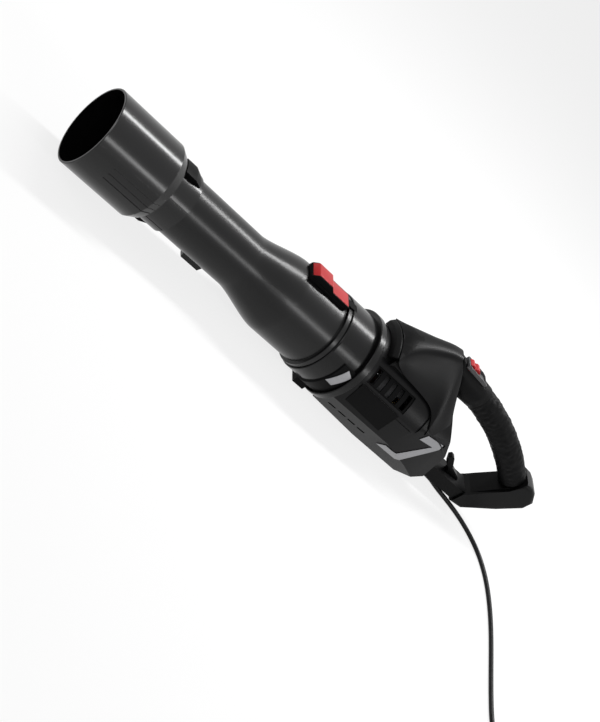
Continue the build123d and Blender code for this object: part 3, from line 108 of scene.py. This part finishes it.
def moulded(name, dark, light, rough, grain, depth, cloud=18.0, gloss=0.5):
    """A moulded plastic or rubber: two close colours in soft clouds, a fine grain and uneven polish."""
    material = bpy.data.materials.new(name)
    material.use_nodes = True
    tree = material.node_tree
    shader = tree.nodes["Principled BSDF"]
    place = tree.nodes.new("ShaderNodeTexCoord")
    clouds = tree.nodes.new("ShaderNodeTexNoise")
    clouds.inputs["Scale"].default_value = cloud
    clouds.inputs["Detail"].default_value = 4.0
    tint = tree.nodes.new("ShaderNodeMix")
    tint.data_type = "RGBA"
    tint.inputs["A"].default_value = (*dark, 1)
    tint.inputs["B"].default_value = (*light, 1)
    polish = tree.nodes.new("ShaderNodeMapRange")
    polish.inputs["From Min"].default_value = 0.3
    polish.inputs["From Max"].default_value = 0.7
    polish.inputs["To Min"].default_value = rough * 0.88
    polish.inputs["To Max"].default_value = rough * 1.12
    speckle = tree.nodes.new("ShaderNodeTexNoise")
    speckle.inputs["Scale"].default_value = grain
    speckle.inputs["Detail"].default_value = 2.0
    bump = tree.nodes.new("ShaderNodeBump")
    bump.inputs["Strength"].default_value = 0.5
    bump.inputs["Distance"].default_value = depth
    tree.links.new(place.outputs["Object"], clouds.inputs["Vector"])
    tree.links.new(place.outputs["Object"], speckle.inputs["Vector"])
    tree.links.new(clouds.outputs["Fac"], tint.inputs["Factor"])
    tree.links.new(clouds.outputs["Fac"], polish.inputs["Value"])
    tree.links.new(tint.outputs["Result"], shader.inputs["Base Color"])
    tree.links.new(polish.outputs["Result"], shader.inputs["Roughness"])
    tree.links.new(speckle.outputs["Fac"], bump.inputs["Height"])
    tree.links.new(bump.outputs["Normal"], shader.inputs["Normal"])
    shader.inputs["Specular IOR Level"].default_value = gloss
    return material


def dress(material, *names):
    """Gives CAD nodes a material."""
    for name in names:
        for slot in nodes[name].material_slots:
            slot.material = material


sheath_rubber = moulded(
    "sheath_rubber", (0.003, 0.003, 0.0033), (0.006, 0.006, 0.0063), 0.42, 900, 0.0001, gloss=0.15
)
lead_curve.materials.append(sheath_rubber)
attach(lead, "blower")
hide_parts("mains_lead")

# ---------------------------------------------------------------------------------------------------
# Nozzle: a wide sleeve moulded in glossy black plastic. It pushes onto the front of the air tube, and
# two sprung tabs hold it there.
# ---------------------------------------------------------------------------------------------------


def stand_in(piece, body, slot, *names):
    """Puts a finished piece on its body in place of the solids that it stands for."""
    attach(piece, body)
    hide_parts(*names)


def part_from(mesh, name, material):
    """An object from a finished mesh, smooth but for its creases."""
    data = bpy.data.meshes.new(name)
    mesh.to_mesh(data)
    mesh.free()
    data.shade_smooth()
    data.set_sharp_from_angle(angle=radians(34))
    data.materials.append(material)
    piece = bpy.data.objects.new(name, data)
    bpy.context.scene.collection.objects.link(piece)
    return piece


def eased(name, body, slot, material, edge):
    """A moulding with its sharp edges rounded, as they come out of the mould."""
    shape = bmesh.new()
    shape.from_mesh(nodes[name].data)
    bmesh.ops.remove_doubles(shape, verts=shape.verts, dist=1e-6)
    bmesh.ops.dissolve_limit(
        shape, angle_limit=radians(1.0), verts=shape.verts, edges=shape.edges, delimit=set()
    )
    sharp = [e for e in shape.edges if len(e.link_faces) == 2 and e.calc_face_angle(0) > radians(28)]
    bmesh.ops.bevel(
        shape, geom=sharp, offset=edge, offset_type="OFFSET", affect="EDGES",
        segments=2, profile=0.5, material=-1, clamp_overlap=True,
    )
    piece = part_from(shape, name + "_moulding", material)
    weigh = piece.modifiers.new("flat_faces", "WEIGHTED_NORMAL")
    weigh.keep_sharp = True
    stand_in(piece, body, slot, name)
    return piece


nozzle_plastic = moulded(
    "nozzle_gloss_black", (0.0015, 0.0015, 0.0016), (0.003, 0.003, 0.0032),
    0.21, 1400, 0.00002, cloud=9, gloss=0.36,
)
eased("nozzle", "nozzle", "nozzle_gloss", nozzle_plastic, 0.0007)

tab_plastic = moulded(
    "tab_black", (0.001, 0.001, 0.0011), (0.002, 0.002, 0.0022), 0.45, 1500, 0.00005, gloss=0.06
)
dress(tab_plastic, "nozzle_tabs")

# ---------------------------------------------------------------------------------------------------
# Air tube: satin dark grey plastic, blow moulded in one piece from the waist behind the nozzle to the
# flare that slides into the fan housing.
# ---------------------------------------------------------------------------------------------------

tube_plastic = moulded(
    "tube_satin_grey", (0.0015, 0.0015, 0.0016), (0.003, 0.003, 0.0032),
    0.27, 1100, 0.00003, cloud=7, gloss=0.27,
)
eased("blow_tube", "tube", "tube_satin", tube_plastic, 0.0006)

# ---------------------------------------------------------------------------------------------------
# Latch: a red cap clipped into a black slider on the tube's crown. The slider's tongue keeps the tube
# from turning out of the fan housing, and a steel spring pushes it home.
# ---------------------------------------------------------------------------------------------------

latch_low, latch_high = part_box("latch_button")
latch_base_low, latch_base_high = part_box("latch_base")
latch_black = moulded(
    "latch_black", (0.001, 0.001, 0.0011), (0.002, 0.002, 0.0022), 0.5, 1300, 0.00005, gloss=0.04
)
eased("latch_button", "latch", "latch_red", latch_black, 0.0008)
eased("latch_base", "tube", "black_plastic", latch_black, 0.0006)


def new_verts(made):
    """The vertices among what an operator made."""
    return [part for part in made["geom"] if isinstance(part, bmesh.types.BMVert)]


# cap, in steps back from the latch's front and down from its crown
cap_proud = 0.0005
cap_half_width = (latch_base_high.y - latch_base_low.y) / 2 - 0.0014
latch_span = latch_base_high.x - latch_base_low.x
rear_step = 0.0055
cap_outline = (
    (0.0006, -0.0062),
    (0.11 * latch_span - 0.0004, cap_proud),
    (0.45 * latch_span, cap_proud),
    (0.55 * latch_span, cap_proud - rear_step),
    (latch_span - 0.0012, cap_proud - rear_step),
    (latch_span - 0.0012, -0.0030 - rear_step),
    (0.20 * latch_span, -0.0062),
)
cap = bmesh.new()
rim = [
    cap.verts.new((latch_low.x + back, -cap_half_width, latch_high.z + up)) for back, up in cap_outline
]
side = cap.faces.new(rim)
pulled = bmesh.ops.extrude_face_region(cap, geom=[side])
bmesh.ops.translate(cap, vec=(0, 2 * cap_half_width, 0), verts=new_verts(pulled))
bmesh.ops.recalc_face_normals(cap, faces=cap.faces)
bmesh.ops.bevel(
    cap, geom=cap.edges[:], offset=0.0007, offset_type="OFFSET", affect="EDGES",
    segments=3, profile=0.5, material=-1, clamp_overlap=True,
)
latch_red = moulded("latch_red", (0.30, 0.004, 0.006), (0.38, 0.008, 0.010), 0.36, 2600, 0.00008, gloss=0.25)
latch_cap = part_from(cap, "latch_cap", latch_red)
stand_in(latch_cap, "latch", "latch_red", "latch_button")


def metal(name, dark, light, rough, streak=1.0, fine=220):
    """Bare or plated metal: two close tones in fine streaks that run along the blower."""
    material = bpy.data.materials.new(name)
    material.use_nodes = True
    tree = material.node_tree
    shader = tree.nodes["Principled BSDF"]
    place = tree.nodes.new("ShaderNodeTexCoord")
    stretch = tree.nodes.new("ShaderNodeMapping")
    stretch.inputs["Scale"].default_value = (streak, 1, 1)
    streaks = tree.nodes.new("ShaderNodeTexNoise")
    streaks.inputs["Scale"].default_value = fine
    streaks.inputs["Detail"].default_value = 3.0
    tone = tree.nodes.new("ShaderNodeMix")
    tone.data_type = "RGBA"
    tone.inputs["A"].default_value = (*dark, 1)
    tone.inputs["B"].default_value = (*light, 1)
    polish = tree.nodes.new("ShaderNodeMapRange")
    polish.inputs["To Min"].default_value = rough * 0.8
    polish.inputs["To Max"].default_value = rough * 1.25
    bump = tree.nodes.new("ShaderNodeBump")
    bump.inputs["Strength"].default_value = 0.3
    bump.inputs["Distance"].default_value = 0.00005
    tree.links.new(place.outputs["Object"], stretch.inputs["Vector"])
    tree.links.new(stretch.outputs["Vector"], streaks.inputs["Vector"])
    tree.links.new(streaks.outputs["Fac"], tone.inputs["Factor"])
    tree.links.new(streaks.outputs["Fac"], polish.inputs["Value"])
    tree.links.new(streaks.outputs["Fac"], bump.inputs["Height"])
    tree.links.new(tone.outputs["Result"], shader.inputs["Base Color"])
    tree.links.new(polish.outputs["Result"], shader.inputs["Roughness"])
    tree.links.new(bump.outputs["Normal"], shader.inputs["Normal"])
    shader.inputs["Metallic"].default_value = 1.0
    return material


spring_steel = metal("spring_steel", (0.34, 0.34, 0.35), (0.48, 0.48, 0.49), 0.28)
dress(spring_steel, "latch_spring")

# ---------------------------------------------------------------------------------------------------
# Fan housing: a glossy black barrel in front of the casing, locked to it by a dark ring and carried by
# a cradle with the front foot.
# ---------------------------------------------------------------------------------------------------

barrel_plastic = moulded(
    "barrel_gloss_black", (0.0015, 0.0015, 0.0016), (0.003, 0.003, 0.0032),
    0.24, 1300, 0.00003, cloud=10, gloss=0.22,
)
eased("fan_housing", "blower", "barrel_gloss", barrel_plastic, 0.0006)
eased("clamp_ring", "blower", "barrel_gloss", barrel_plastic, 0.0008)
foot_plastic = moulded(
    "foot_black", (0.001, 0.001, 0.0011), (0.002, 0.002, 0.0022), 0.5, 1000, 0.00006, gloss=0.06
)
eased("front_foot", "blower", "black_plastic", foot_plastic, 0.001)

# ---------------------------------------------------------------------------------------------------
# Motor casing: two halves in dark grey plastic with a fine moulded grain, screwed together from the
# right, with a vent grille behind each flank's opening.
# ---------------------------------------------------------------------------------------------------

casing_plastic = moulded(
    "casing_grey", (0.002, 0.002, 0.0022), (0.004, 0.004, 0.0043), 0.34, 950, 0.00006, cloud=8, gloss=0.11
)
grille_black = moulded(
    "grille_black", (0.001, 0.001, 0.0011), (0.002, 0.002, 0.0022), 0.55, 1200, 0.00004, gloss=0.04
)
for hand in ("left", "right"):
    eased("housing_" + hand, "blower", "casing_grey", casing_plastic, 0.0008)
dress(grille_black, "vent_grille_left", "vent_grille_right")

# ---------------------------------------------------------------------------------------------------
# Side plates and trims: a bare dark plate on each flank between silver-painted trims, clipped into
# the casing halves.
# ---------------------------------------------------------------------------------------------------

plate_film = moulded(
    "plate_black", (0.001, 0.001, 0.0011), (0.002, 0.002, 0.0022), 0.3, 1800, 0.00002, gloss=0.05
)
trim_paint = metal("trim_silver", (0.22, 0.22, 0.23), (0.34, 0.34, 0.35), 0.36, streak=0.2, fine=1600)
for hand in ("left", "right"):
    eased("label_plate_" + hand, "blower", "label_black", plate_film, 0.0003)
    eased("rear_trim_" + hand, "blower", "trim_silver", trim_paint, 0.0005)
    eased("front_trim_" + hand, "blower", "trim_silver", trim_paint, 0.0005)

# ---------------------------------------------------------------------------------------------------
# Handle: hood, grip core, rear bar and bridge are moulded as two shells in the casing's plastic. A
# black rim closes the hood's front, a cover with a soft crease lies over the hood, and an overmoulded
# soft root and sleeve cover the grip.
# ---------------------------------------------------------------------------------------------------

rim_plastic = moulded(
    "rim_black", (0.001, 0.001, 0.0011), (0.002, 0.002, 0.0022), 0.4, 1200, 0.00004, gloss=0.07
)
casing_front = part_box("housing_left")[0].x
fan_axis = 0.065  # height of the fan's axis, from which the handle's heights count


def at(reach, across, height):
    """A point by its reach behind the casing's front, its distance to the right and its height."""
    return Vector((casing_front + reach, across, fan_axis + height))


sleeve_rubber = moulded(
    "sleeve_black", (0.001, 0.001, 0.0011), (0.002, 0.002, 0.0022), 0.5, 420, 0.0002, cloud=60, gloss=0.06
)
# the shells, without the stretch of the hood and grip that the cover and the grip's root take over
hood_back_from = 0.090
hood_back_to = 0.178
hood_back_above = 0.060
for hand in ("left", "right"):
    shell = eased("handle_shell_" + hand, "blower", "casing_grey", rim_plastic, 0.0009)
    cut = bmesh.new()
    cut.from_mesh(shell.data)
    for reach in (hood_back_from, hood_back_to):
        bmesh.ops.bisect_plane(
            cut, geom=cut.verts[:] + cut.edges[:] + cut.faces[:], dist=1e-6,
            plane_co=at(reach, 0, 0), plane_no=(1, 0, 0), clear_outer=False, clear_inner=False,
        )
    hood_back = [
        face for face in cut.faces
        if at(hood_back_from, 0, 0).x < face.calc_center_median().x < at(hood_back_to, 0, 0).x
        and face.calc_center_median().z > at(0, 0, hood_back_above).z
    ]
    bmesh.ops.delete(cut, geom=hood_back, context="FACES")
    cut.to_mesh(shell.data)
    cut.free()
    shell.data.set_sharp_from_angle(angle=radians(34))
eased("hood_rim", "blower", "black_plastic", rim_plastic, 0.001)

# hood cover: crown, crease and foot, from the rim back to the finger gap
crown_line = (
    (0.019, 0.080), (0.024, 0.085), (0.030, 0.090), (0.040, 0.0965), (0.052, 0.103),
    (0.060, 0.1075), (0.075, 0.1150), (0.084, 0.1188), (0.095, 0.1203),
)
crease_line = (
    (0.019, -0.0378, 0.0705), (0.024, -0.0312, 0.0770), (0.030, -0.0262, 0.0835), (0.040, -0.0200, 0.0922),
    (0.052, -0.0168, 0.0990), (0.060, -0.0155, 0.1028), (0.075, -0.0142, 0.1107), (0.084, -0.0133, 0.1150),
    (0.095, -0.0115, 0.1180), (0.106, -0.0150, 0.1105), (0.118, -0.0205, 0.0975), (0.128, -0.0255, 0.0860),
    (0.1355, -0.0290, 0.0770),
)
foot_line = (
    (0.021, -0.0405, 0.0665), (0.029, -0.0390, 0.0630), (0.037, -0.0380, 0.0600), (0.048, -0.0385, 0.0575),
    (0.062, -0.0390, 0.0565), (0.073, -0.0395, 0.0560), (0.098, -0.0410, 0.0540), (0.112, -0.0430, 0.0515),
    (0.122, -0.0490, 0.0460), (0.130, -0.0590, 0.0340), (0.141, -0.0605, 0.0295), (0.162, -0.0562, 0.0290),
    (0.1885, -0.0512, 0.0165),
)
slope_share = 0.62  # where the roof's middle line lies, from the crown to the crease
slope_lift = 0.0016
side_bulge = 0.0025
cover = bmesh.new()


def chain(points):
    """A row of vertices joined by edges. Gives the edges."""
    row = [cover.verts.new(point) for point in points]
    return [cover.edges.new(pair) for pair in zip(row, row[1:])]


crown_edges = chain([at(reach, 0, height) for reach, height in crown_line])
slope_edges = chain([
    at(back, 0, up).lerp(at(reach, across, height), slope_share) + Vector((0, 0, slope_lift))
    for (back, up), (reach, across, height) in zip(crown_line, crease_line)
])
crease_edges = chain([at(*point) for point in crease_line])
bmesh.ops.bridge_loops(cover, edges=crown_edges + slope_edges)
bmesh.ops.bridge_loops(cover, edges=slope_edges + crease_edges[:len(crown_edges)])
above = crease_edges
for share in (0.12, 0.4, 0.7, 1.0):
    edges = chain([
        at(*top).lerp(at(*foot), share) + Vector((0, -4 * side_bulge * share * (1 - share), 0))
        for top, foot in zip(crease_line, foot_line)
    ])
    bmesh.ops.bridge_loops(cover, edges=above + edges)
    above = edges
# the free edges turn in towards the casing
free = [edge for edge in cover.edges if len(edge.link_faces) == 1 and edge not in crown_edges]
lip = bmesh.ops.extrude_edge_only(cover, edges=free)
bmesh.ops.translate(cover, vec=(0, 0.006, -0.0015), verts=new_verts(lip))
other_half = bmesh.ops.duplicate(cover, geom=cover.verts[:] + cover.edges[:] + cover.faces[:])
bmesh.ops.scale(cover, vec=(1, -1, 1), verts=new_verts(other_half))
bmesh.ops.remove_doubles(cover, verts=cover.verts, dist=1e-6)
bmesh.ops.recalc_face_normals(cover, faces=cover.faces)
if sum(face.normal.z * face.calc_area() for face in cover.faces) < 0:
    bmesh.ops.reverse_faces(cover, faces=cover.faces)
creases = cover.edges.layers.float.new("crease_edge")
for edge in cover.edges:
    if len(edge.link_faces) == 2 and edge.calc_face_angle(0) > radians(40):
        edge[creases] = 0.75
hood_cover = part_from(cover, "hood_cover", casing_plastic)
round_off = hood_cover.modifiers.new("round_off", "SUBSURF")
round_off.levels = 2
round_off.render_levels = 2
stand_in(hood_cover, "blower", "casing_grey", "handle_shell_left", "handle_shell_right")

# grip: its root behind the hood cover, and the sleeve along the bend
grip_radius = 0.416
grip_bend = at(0.123, 0, 0.093 - grip_radius)  # centre of the bend, above which the grip is level
sleeve_from = radians(6.4)
sleeve_to = radians(31.0)
grip_sides = 56


def oval(mesh, centre, lean, half_width, half_height):
    """A ring of the grip: an oval across the blower, leaning back by an angle. Gives its edges."""
    ring = bmesh.ops.create_circle(mesh, segments=grip_sides, radius=1.0)["verts"]
    bmesh.ops.scale(mesh, vec=(half_height, half_width, 1), verts=ring)
    bmesh.ops.rotate(mesh, matrix=Matrix.Rotation(radians(90) + lean, 3, "Y"), verts=ring)
    bmesh.ops.translate(mesh, vec=centre, verts=ring)
    return list({edge for vert in ring for edge in vert.link_edges})


root = bmesh.new()
# reach, height, lean in degrees, half width and half height of each ring
rings = [
    oval(root, at(reach, 0, height), radians(lean), half_width, half_height)
    for reach, height, lean, half_width, half_height in (
        (0.1165, 0.0950, -38, 0.0170, 0.0295),
        (0.1260, 0.0935, -30, 0.0190, 0.0262),
        (0.1450, 0.0920, -10, 0.0192, 0.0232),
        (0.1600, 0.0910, 2, 0.0184, 0.0216),
        (0.1720, 0.0902, 6.6, 0.0178, 0.0209),
    )
]
for near, far in zip(rings, rings[1:]):
    bmesh.ops.bridge_loops(root, edges=near + far)
bmesh.ops.recalc_face_normals(root, faces=root.faces)
# opening under the power control's bezel
window_front = 0.1097
window_rear = 0.1553
window_half_width = 0.0098
window_above = 0.100
for place, way in (
    (at(window_front, 0, 0), (1, 0, 0)), (at(window_rear, 0, 0), (1, 0, 0)),
    (at(0, window_half_width, 0), (0, 1, 0)), (at(0, -window_half_width, 0), (0, 1, 0)),
):
    bmesh.ops.bisect_plane(
        root, geom=root.verts[:] + root.edges[:] + root.faces[:], dist=1e-6, plane_co=place, plane_no=way,
        clear_outer=False, clear_inner=False,
    )
under_bezel = [
    face for face in root.faces
    if at(window_front, 0, 0).x < face.calc_center_median().x < at(window_rear, 0, 0).x
    and abs(face.calc_center_median().y) < window_half_width
    and face.calc_center_median().z > at(0, 0, window_above).z
]
bmesh.ops.delete(root, geom=under_bezel, context="FACES")
grip_root = part_from(root, "grip_root", sleeve_rubber)
skin = grip_root.modifiers.new("skin", "SOLIDIFY")
skin.thickness = 0.0016
skin.offset = -1
stand_in(grip_root, "blower", "rubber", "handle_shell_left", "handle_shell_right")

sleeve = bmesh.new()
oval(sleeve, Vector((0, 0, grip_radius)), 0, 0.0176, 0.0207)
bmesh.ops.rotate(sleeve, matrix=Matrix.Rotation(sleeve_from, 3, "Y"), verts=sleeve.verts)
bmesh.ops.spin(
    sleeve, geom=sleeve.edges[:], cent=(0, 0, 0), axis=(0, 1, 0), dvec=(0, 0, 0),
    angle=sleeve_to - sleeve_from, steps=150, use_merge=False,
)
bmesh.ops.translate(sleeve, vec=grip_bend, verts=sleeve.verts)
bmesh.ops.recalc_face_normals(sleeve, faces=sleeve.faces)
sleeve.normal_update()
wrinkles_per_metre = 95
for vert in sleeve.verts:
    crease = noise.noise(vert.co * wrinkles_per_metre, noise_basis="VORONOI_F2F1")
    fold = noise.noise(Vector((vert.co.x * 40, vert.co.y * 70, vert.co.z * 70)))
    vert.co += vert.normal * (0.0008 * min(crease, 0.45) + 0.0004 * fold - 0.0002)
grip_sleeve = part_from(sleeve, "grip_sleeve_wrinkled", sleeve_rubber)
wall = grip_sleeve.modifiers.new("wall", "SOLIDIFY")
wall.thickness = 0.0018
wall.offset = -1
stand_in(grip_sleeve, "blower", "rubber", "grip_sleeve")

# ---------------------------------------------------------------------------------------------------
# Rear bumper: a black tray that wraps the grip's foot and the rear bar, glued on. The hook for the
# extension lead stands on the bridge.
# ---------------------------------------------------------------------------------------------------

bumper_plastic = moulded(
    "bumper_black", (0.0015, 0.0015, 0.0016), (0.003, 0.003, 0.0032), 0.34, 800, 0.00006, gloss=0.09
)
eased("rear_bumper", "blower", "rubber", bumper_plastic, 0.0022)
eased("cord_hook", "blower", "black_plastic", rim_plastic, 0.0012)

# ---------------------------------------------------------------------------------------------------
# Power control: a red slider in a frosted grey bezel on the crest of the grip. A carrier under it
# works the switch.
# ---------------------------------------------------------------------------------------------------

bezel_plastic = moulded(
    "bezel_grey", (0.03, 0.03, 0.031), (0.07, 0.07, 0.072), 0.45, 1500, 0.00006, cloud=240, gloss=0.3
)
eased("switch_bezel", "blower", "soft_grey", bezel_plastic, 0.0004)
eased("power_slider", "power_slide", "latch_red", latch_red, 0.0006)
inner_black = moulded(
    "inner_black", (0.010, 0.010, 0.011), (0.016, 0.016, 0.017), 0.5, 900, 0.00005, gloss=0.3
)
dress(inner_black, "slider_carrier", "switch_module", "cord_clamp")

# ---------------------------------------------------------------------------------------------------
# Fan and shaft: a glass-filled nylon fan on a ground steel shaft, held by a nut, with guide vanes
# behind it.
# ---------------------------------------------------------------------------------------------------

fan_nylon = moulded("fan_nylon", (0.030, 0.031, 0.033), (0.045, 0.046, 0.048), 0.5, 700, 0.00008, gloss=0.35)
dress(fan_nylon, "fan_wheel", "guide_vanes")
steel = metal("ground_steel", (0.46, 0.46, 0.47), (0.60, 0.60, 0.61), 0.22, streak=30)
dress(steel, "motor_shaft", "front_bearing", "rear_bearing", "fan_nut", "stator_screws")

# ---------------------------------------------------------------------------------------------------
# Motor: laminated stator and armature with enamelled copper windings, a brass commutator, and carbon
# brushes in brass holders on a cast rear bracket.
# ---------------------------------------------------------------------------------------------------


def layered(name, dark, light, rough, metallic, direction, bands):
    """A stack of sheets or a winding: thin bands of two tones across one direction."""
    material = bpy.data.materials.new(name)
    material.use_nodes = True
    tree = material.node_tree
    shader = tree.nodes["Principled BSDF"]
    place = tree.nodes.new("ShaderNodeTexCoord")
    layers = tree.nodes.new("ShaderNodeTexWave")
    layers.wave_type = "BANDS"
    layers.bands_direction = direction
    layers.inputs["Scale"].default_value = bands
    layers.inputs["Distortion"].default_value = 0.4
    layers.inputs["Detail Scale"].default_value = 20.0
    tone = tree.nodes.new("ShaderNodeMix")
    tone.data_type = "RGBA"
    tone.inputs["A"].default_value = (*dark, 1)
    tone.inputs["B"].default_value = (*light, 1)
    bump = tree.nodes.new("ShaderNodeBump")
    bump.inputs["Strength"].default_value = 0.6
    bump.inputs["Distance"].default_value = 0.0002
    tree.links.new(place.outputs["Object"], layers.inputs["Vector"])
    tree.links.new(layers.outputs["Fac"], tone.inputs["Factor"])
    tree.links.new(layers.outputs["Fac"], bump.inputs["Height"])
    tree.links.new(tone.outputs["Result"], shader.inputs["Base Color"])
    tree.links.new(bump.outputs["Normal"], shader.inputs["Normal"])
    shader.inputs["Roughness"].default_value = rough
    shader.inputs["Metallic"].default_value = metallic
    return material


# The stator and armature stacks are written near black as painted shade inside the casing, so that nothing
# bright shows through the vents.
lamination = layered("lamination", (0.02, 0.02, 0.021), (0.05, 0.05, 0.052), 0.55, 0.6, "X", 320)
dress(lamination, "armature_stack", "stator_stack")
copper = layered("enamelled_copper", (0.30, 0.08, 0.025), (0.56, 0.20, 0.07), 0.3, 0.9, "Z", 280)
dress(copper, "armature_windings", "field_coils")
brass = metal("brass", (0.52, 0.36, 0.12), (0.64, 0.46, 0.18), 0.3, streak=20)
dress(brass, "brush_holders", "commutator")
carbon = moulded("carbon", (0.020, 0.020, 0.021), (0.040, 0.040, 0.041), 0.6, 1600, 0.00006)
dress(carbon, "carbon_brushes")
bracket_plastic = moulded("bracket_black", (0.014, 0.014, 0.015), (0.022, 0.022, 0.023), 0.5, 800, 0.00006)
dress(bracket_plastic, "motor_end_bracket")
ring_rubber = moulded("ring_rubber", (0.012, 0.012, 0.012), (0.020, 0.020, 0.020), 0.7, 600, 0.0001, gloss=0.2)
dress(ring_rubber, "motor_bumper")

# ---------------------------------------------------------------------------------------------------
# Electrics in the casing's tail: a speed board, a cream terminal block, a yellow capacitor and the
# leads between them.
# ---------------------------------------------------------------------------------------------------

board_green = moulded(
    "board_green", (0.010, 0.075, 0.030), (0.018, 0.110, 0.045), 0.35, 500, 0.00005, cloud=120
)
dress(board_green, "control_board")
cream_plastic = moulded("cream_plastic", (0.62, 0.58, 0.48), (0.70, 0.66, 0.56), 0.45, 900, 0.00005)
dress(cream_plastic, "terminal_block")
capacitor_yellow = moulded("capacitor_yellow", (0.62, 0.42, 0.03), (0.72, 0.50, 0.05), 0.35, 900, 0.00004)
dress(capacitor_yellow, "suppressor_capacitor")
dress(sheath_rubber, "internal_leads")

# ---------------------------------------------------------------------------------------------------
# Screws: blackened steel, sunk in the right half of the casing and the handle.
# ---------------------------------------------------------------------------------------------------

screw_steel = metal("blackened_steel", (0.10, 0.10, 0.105), (0.16, 0.16, 0.165), 0.35)
dress(screw_steel, "housing_screws")

# ---------------------------------------------------------------------------------------------------
# Lead guard and plug: a ribbed rubber cone that holds the lead at the casing's foot, and a moulded
# plug with two plated pins.
# ---------------------------------------------------------------------------------------------------

guard_length = guard_high.x - guard_low.x
guard_root = (guard_high.z - guard_low.z) / 2
guard_tip = guard_root * 0.62
guard_axis = Vector((guard_low.x, 0, (guard_low.z + guard_high.z) / 2))
guard = bmesh.new()
turns = 7
plain_root = 0.004  # smooth collar before the first rib
pitch = (guard_length - 0.006) / turns
profile = [(0.0, 0.0), (0.0, guard_root)]
for turn in range(turns):
    here = plain_root + turn * (guard_length - 0.006) / turns
    width = guard_root + (guard_tip - guard_root) * here / guard_length
    profile += [(here, width), (here + 0.3 * pitch, width - 0.0011), (here + 0.6 * pitch, width - 0.0011)]
profile += [(guard_length - 0.001, guard_tip), (guard_length, guard_tip - 0.0008), (guard_length, 0.0)]
line = [guard.verts.new(guard_axis + Vector((along, 0, out))) for along, out in profile]
for one, two in zip(line, line[1:]):
    guard.edges.new((one, two))
bmesh.ops.spin(
    guard, geom=guard.edges[:], cent=guard_axis, axis=(1, 0, 0), dvec=(0, 0, 0),
    angle=2 * pi, steps=32, use_merge=True,
)
bmesh.ops.remove_doubles(guard, verts=guard.verts, dist=1e-6)
bmesh.ops.recalc_face_normals(guard, faces=guard.faces)
guard_piece = part_from(guard, "lead_guard", sheath_rubber)
stand_in(guard_piece, "blower", "rubber", "cord_guard")
eased("plug_body", "blower", "lead_black", sheath_rubber, 0.0012)
pin_metal = metal("pin_brass", (0.55, 0.50, 0.38), (0.66, 0.61, 0.48), 0.25, streak=12)
dress(pin_metal, "plug_pins")

# ---------------------------------------------------------------------------------------------------
# Studio: a pale floor and a white world, with a strip lamp overhead, a dimmer strip on the camera's
# side and a soft box in front.
# ---------------------------------------------------------------------------------------------------

floor_mesh = bmesh.new()
bmesh.ops.create_grid(floor_mesh, x_segments=1, y_segments=1, size=6.0)
floor_data = bpy.data.meshes.new("studio_floor")
floor_mesh.to_mesh(floor_data)
floor_mesh.free()
floor = bpy.data.objects.new("studio_floor", floor_data)
bpy.context.scene.collection.objects.link(floor)

floor_material = bpy.data.materials.new("studio_floor")
floor_material.use_nodes = True
tree = floor_material.node_tree
paint = tree.nodes["Principled BSDF"]
paint.inputs["Base Color"].default_value = (0.8, 0.8, 0.8, 1)
paint.inputs["Roughness"].default_value = 1.0
glow = tree.nodes.new("ShaderNodeEmission")
glow.inputs["Strength"].default_value = 1.0
path = tree.nodes.new("ShaderNodeLightPath")
share = tree.nodes.new("ShaderNodeMath")
share.operation = "MULTIPLY"
share.inputs[1].default_value = 0.8
mirrored = tree.nodes.new("ShaderNodeMath")
mirrored.operation = "MAXIMUM"
seen = tree.nodes.new("ShaderNodeMath")
seen.operation = "MAXIMUM"
blend = tree.nodes.new("ShaderNodeMixShader")
tree.links.new(path.outputs["Is Glossy Ray"], mirrored.inputs[0])
tree.links.new(path.outputs["Is Transmission Ray"], mirrored.inputs[1])
tree.links.new(path.outputs["Is Camera Ray"], seen.inputs[0])
tree.links.new(mirrored.outputs[0], seen.inputs[1])
tree.links.new(seen.outputs[0], share.inputs[0])
tree.links.new(share.outputs[0], blend.inputs[0])
tree.links.new(paint.outputs[0], blend.inputs[1])
tree.links.new(glow.outputs[0], blend.inputs[2])
tree.links.new(blend.outputs[0], tree.nodes["Material Output"].inputs["Surface"])
floor_data.materials.append(floor_material)

world = bpy.data.worlds.new("studio")
bpy.context.scene.world = world
world.use_nodes = True
tree = world.node_tree
air = tree.nodes["Background"]
air.inputs["Color"].default_value = (1, 1, 1, 1)
path = tree.nodes.new("ShaderNodeLightPath")
mirrored = tree.nodes.new("ShaderNodeMath")
mirrored.operation = "MAXIMUM"
seen = tree.nodes.new("ShaderNodeMath")
seen.operation = "MAXIMUM"
level = tree.nodes.new("ShaderNodeMapRange")
level.inputs["To Min"].default_value = 0.30
level.inputs["To Max"].default_value = 1.0
tree.links.new(path.outputs["Is Glossy Ray"], mirrored.inputs[0])
tree.links.new(path.outputs["Is Transmission Ray"], mirrored.inputs[1])
tree.links.new(path.outputs["Is Camera Ray"], seen.inputs[0])
tree.links.new(mirrored.outputs[0], seen.inputs[1])
tree.links.new(seen.outputs[0], level.inputs["Value"])
tree.links.new(level.outputs["Result"], air.inputs["Strength"])

# place, turn in degrees, length, width and watts of each lamp
for label, place, turn, width, height, power in (
    ("overhead_strip", (0.70, 0.46, 1.22), (-21, 0, 0), 2.1, 0.14, 32),
    ("near_strip", (0.80, -1.15, 0.78), (58, 0, 0), 1.7, 0.18, 9),
    ("front_box", (-1.7, -0.3, 0.9), (0, -64, 0), 0.5, 0.9, 5),
):
    lamp_data = bpy.data.lights.new(label, "AREA")
    lamp_data.shape = "RECTANGLE"
    lamp_data.size = width
    lamp_data.size_y = height
    lamp_data.energy = power
    lamp = bpy.data.objects.new(label, lamp_data)
    lamp.location = place
    lamp.rotation_euler = [radians(angle) for angle in turn]
    bpy.context.scene.collection.objects.link(lamp)

bpy.context.scene.view_settings.view_transform = "Standard"
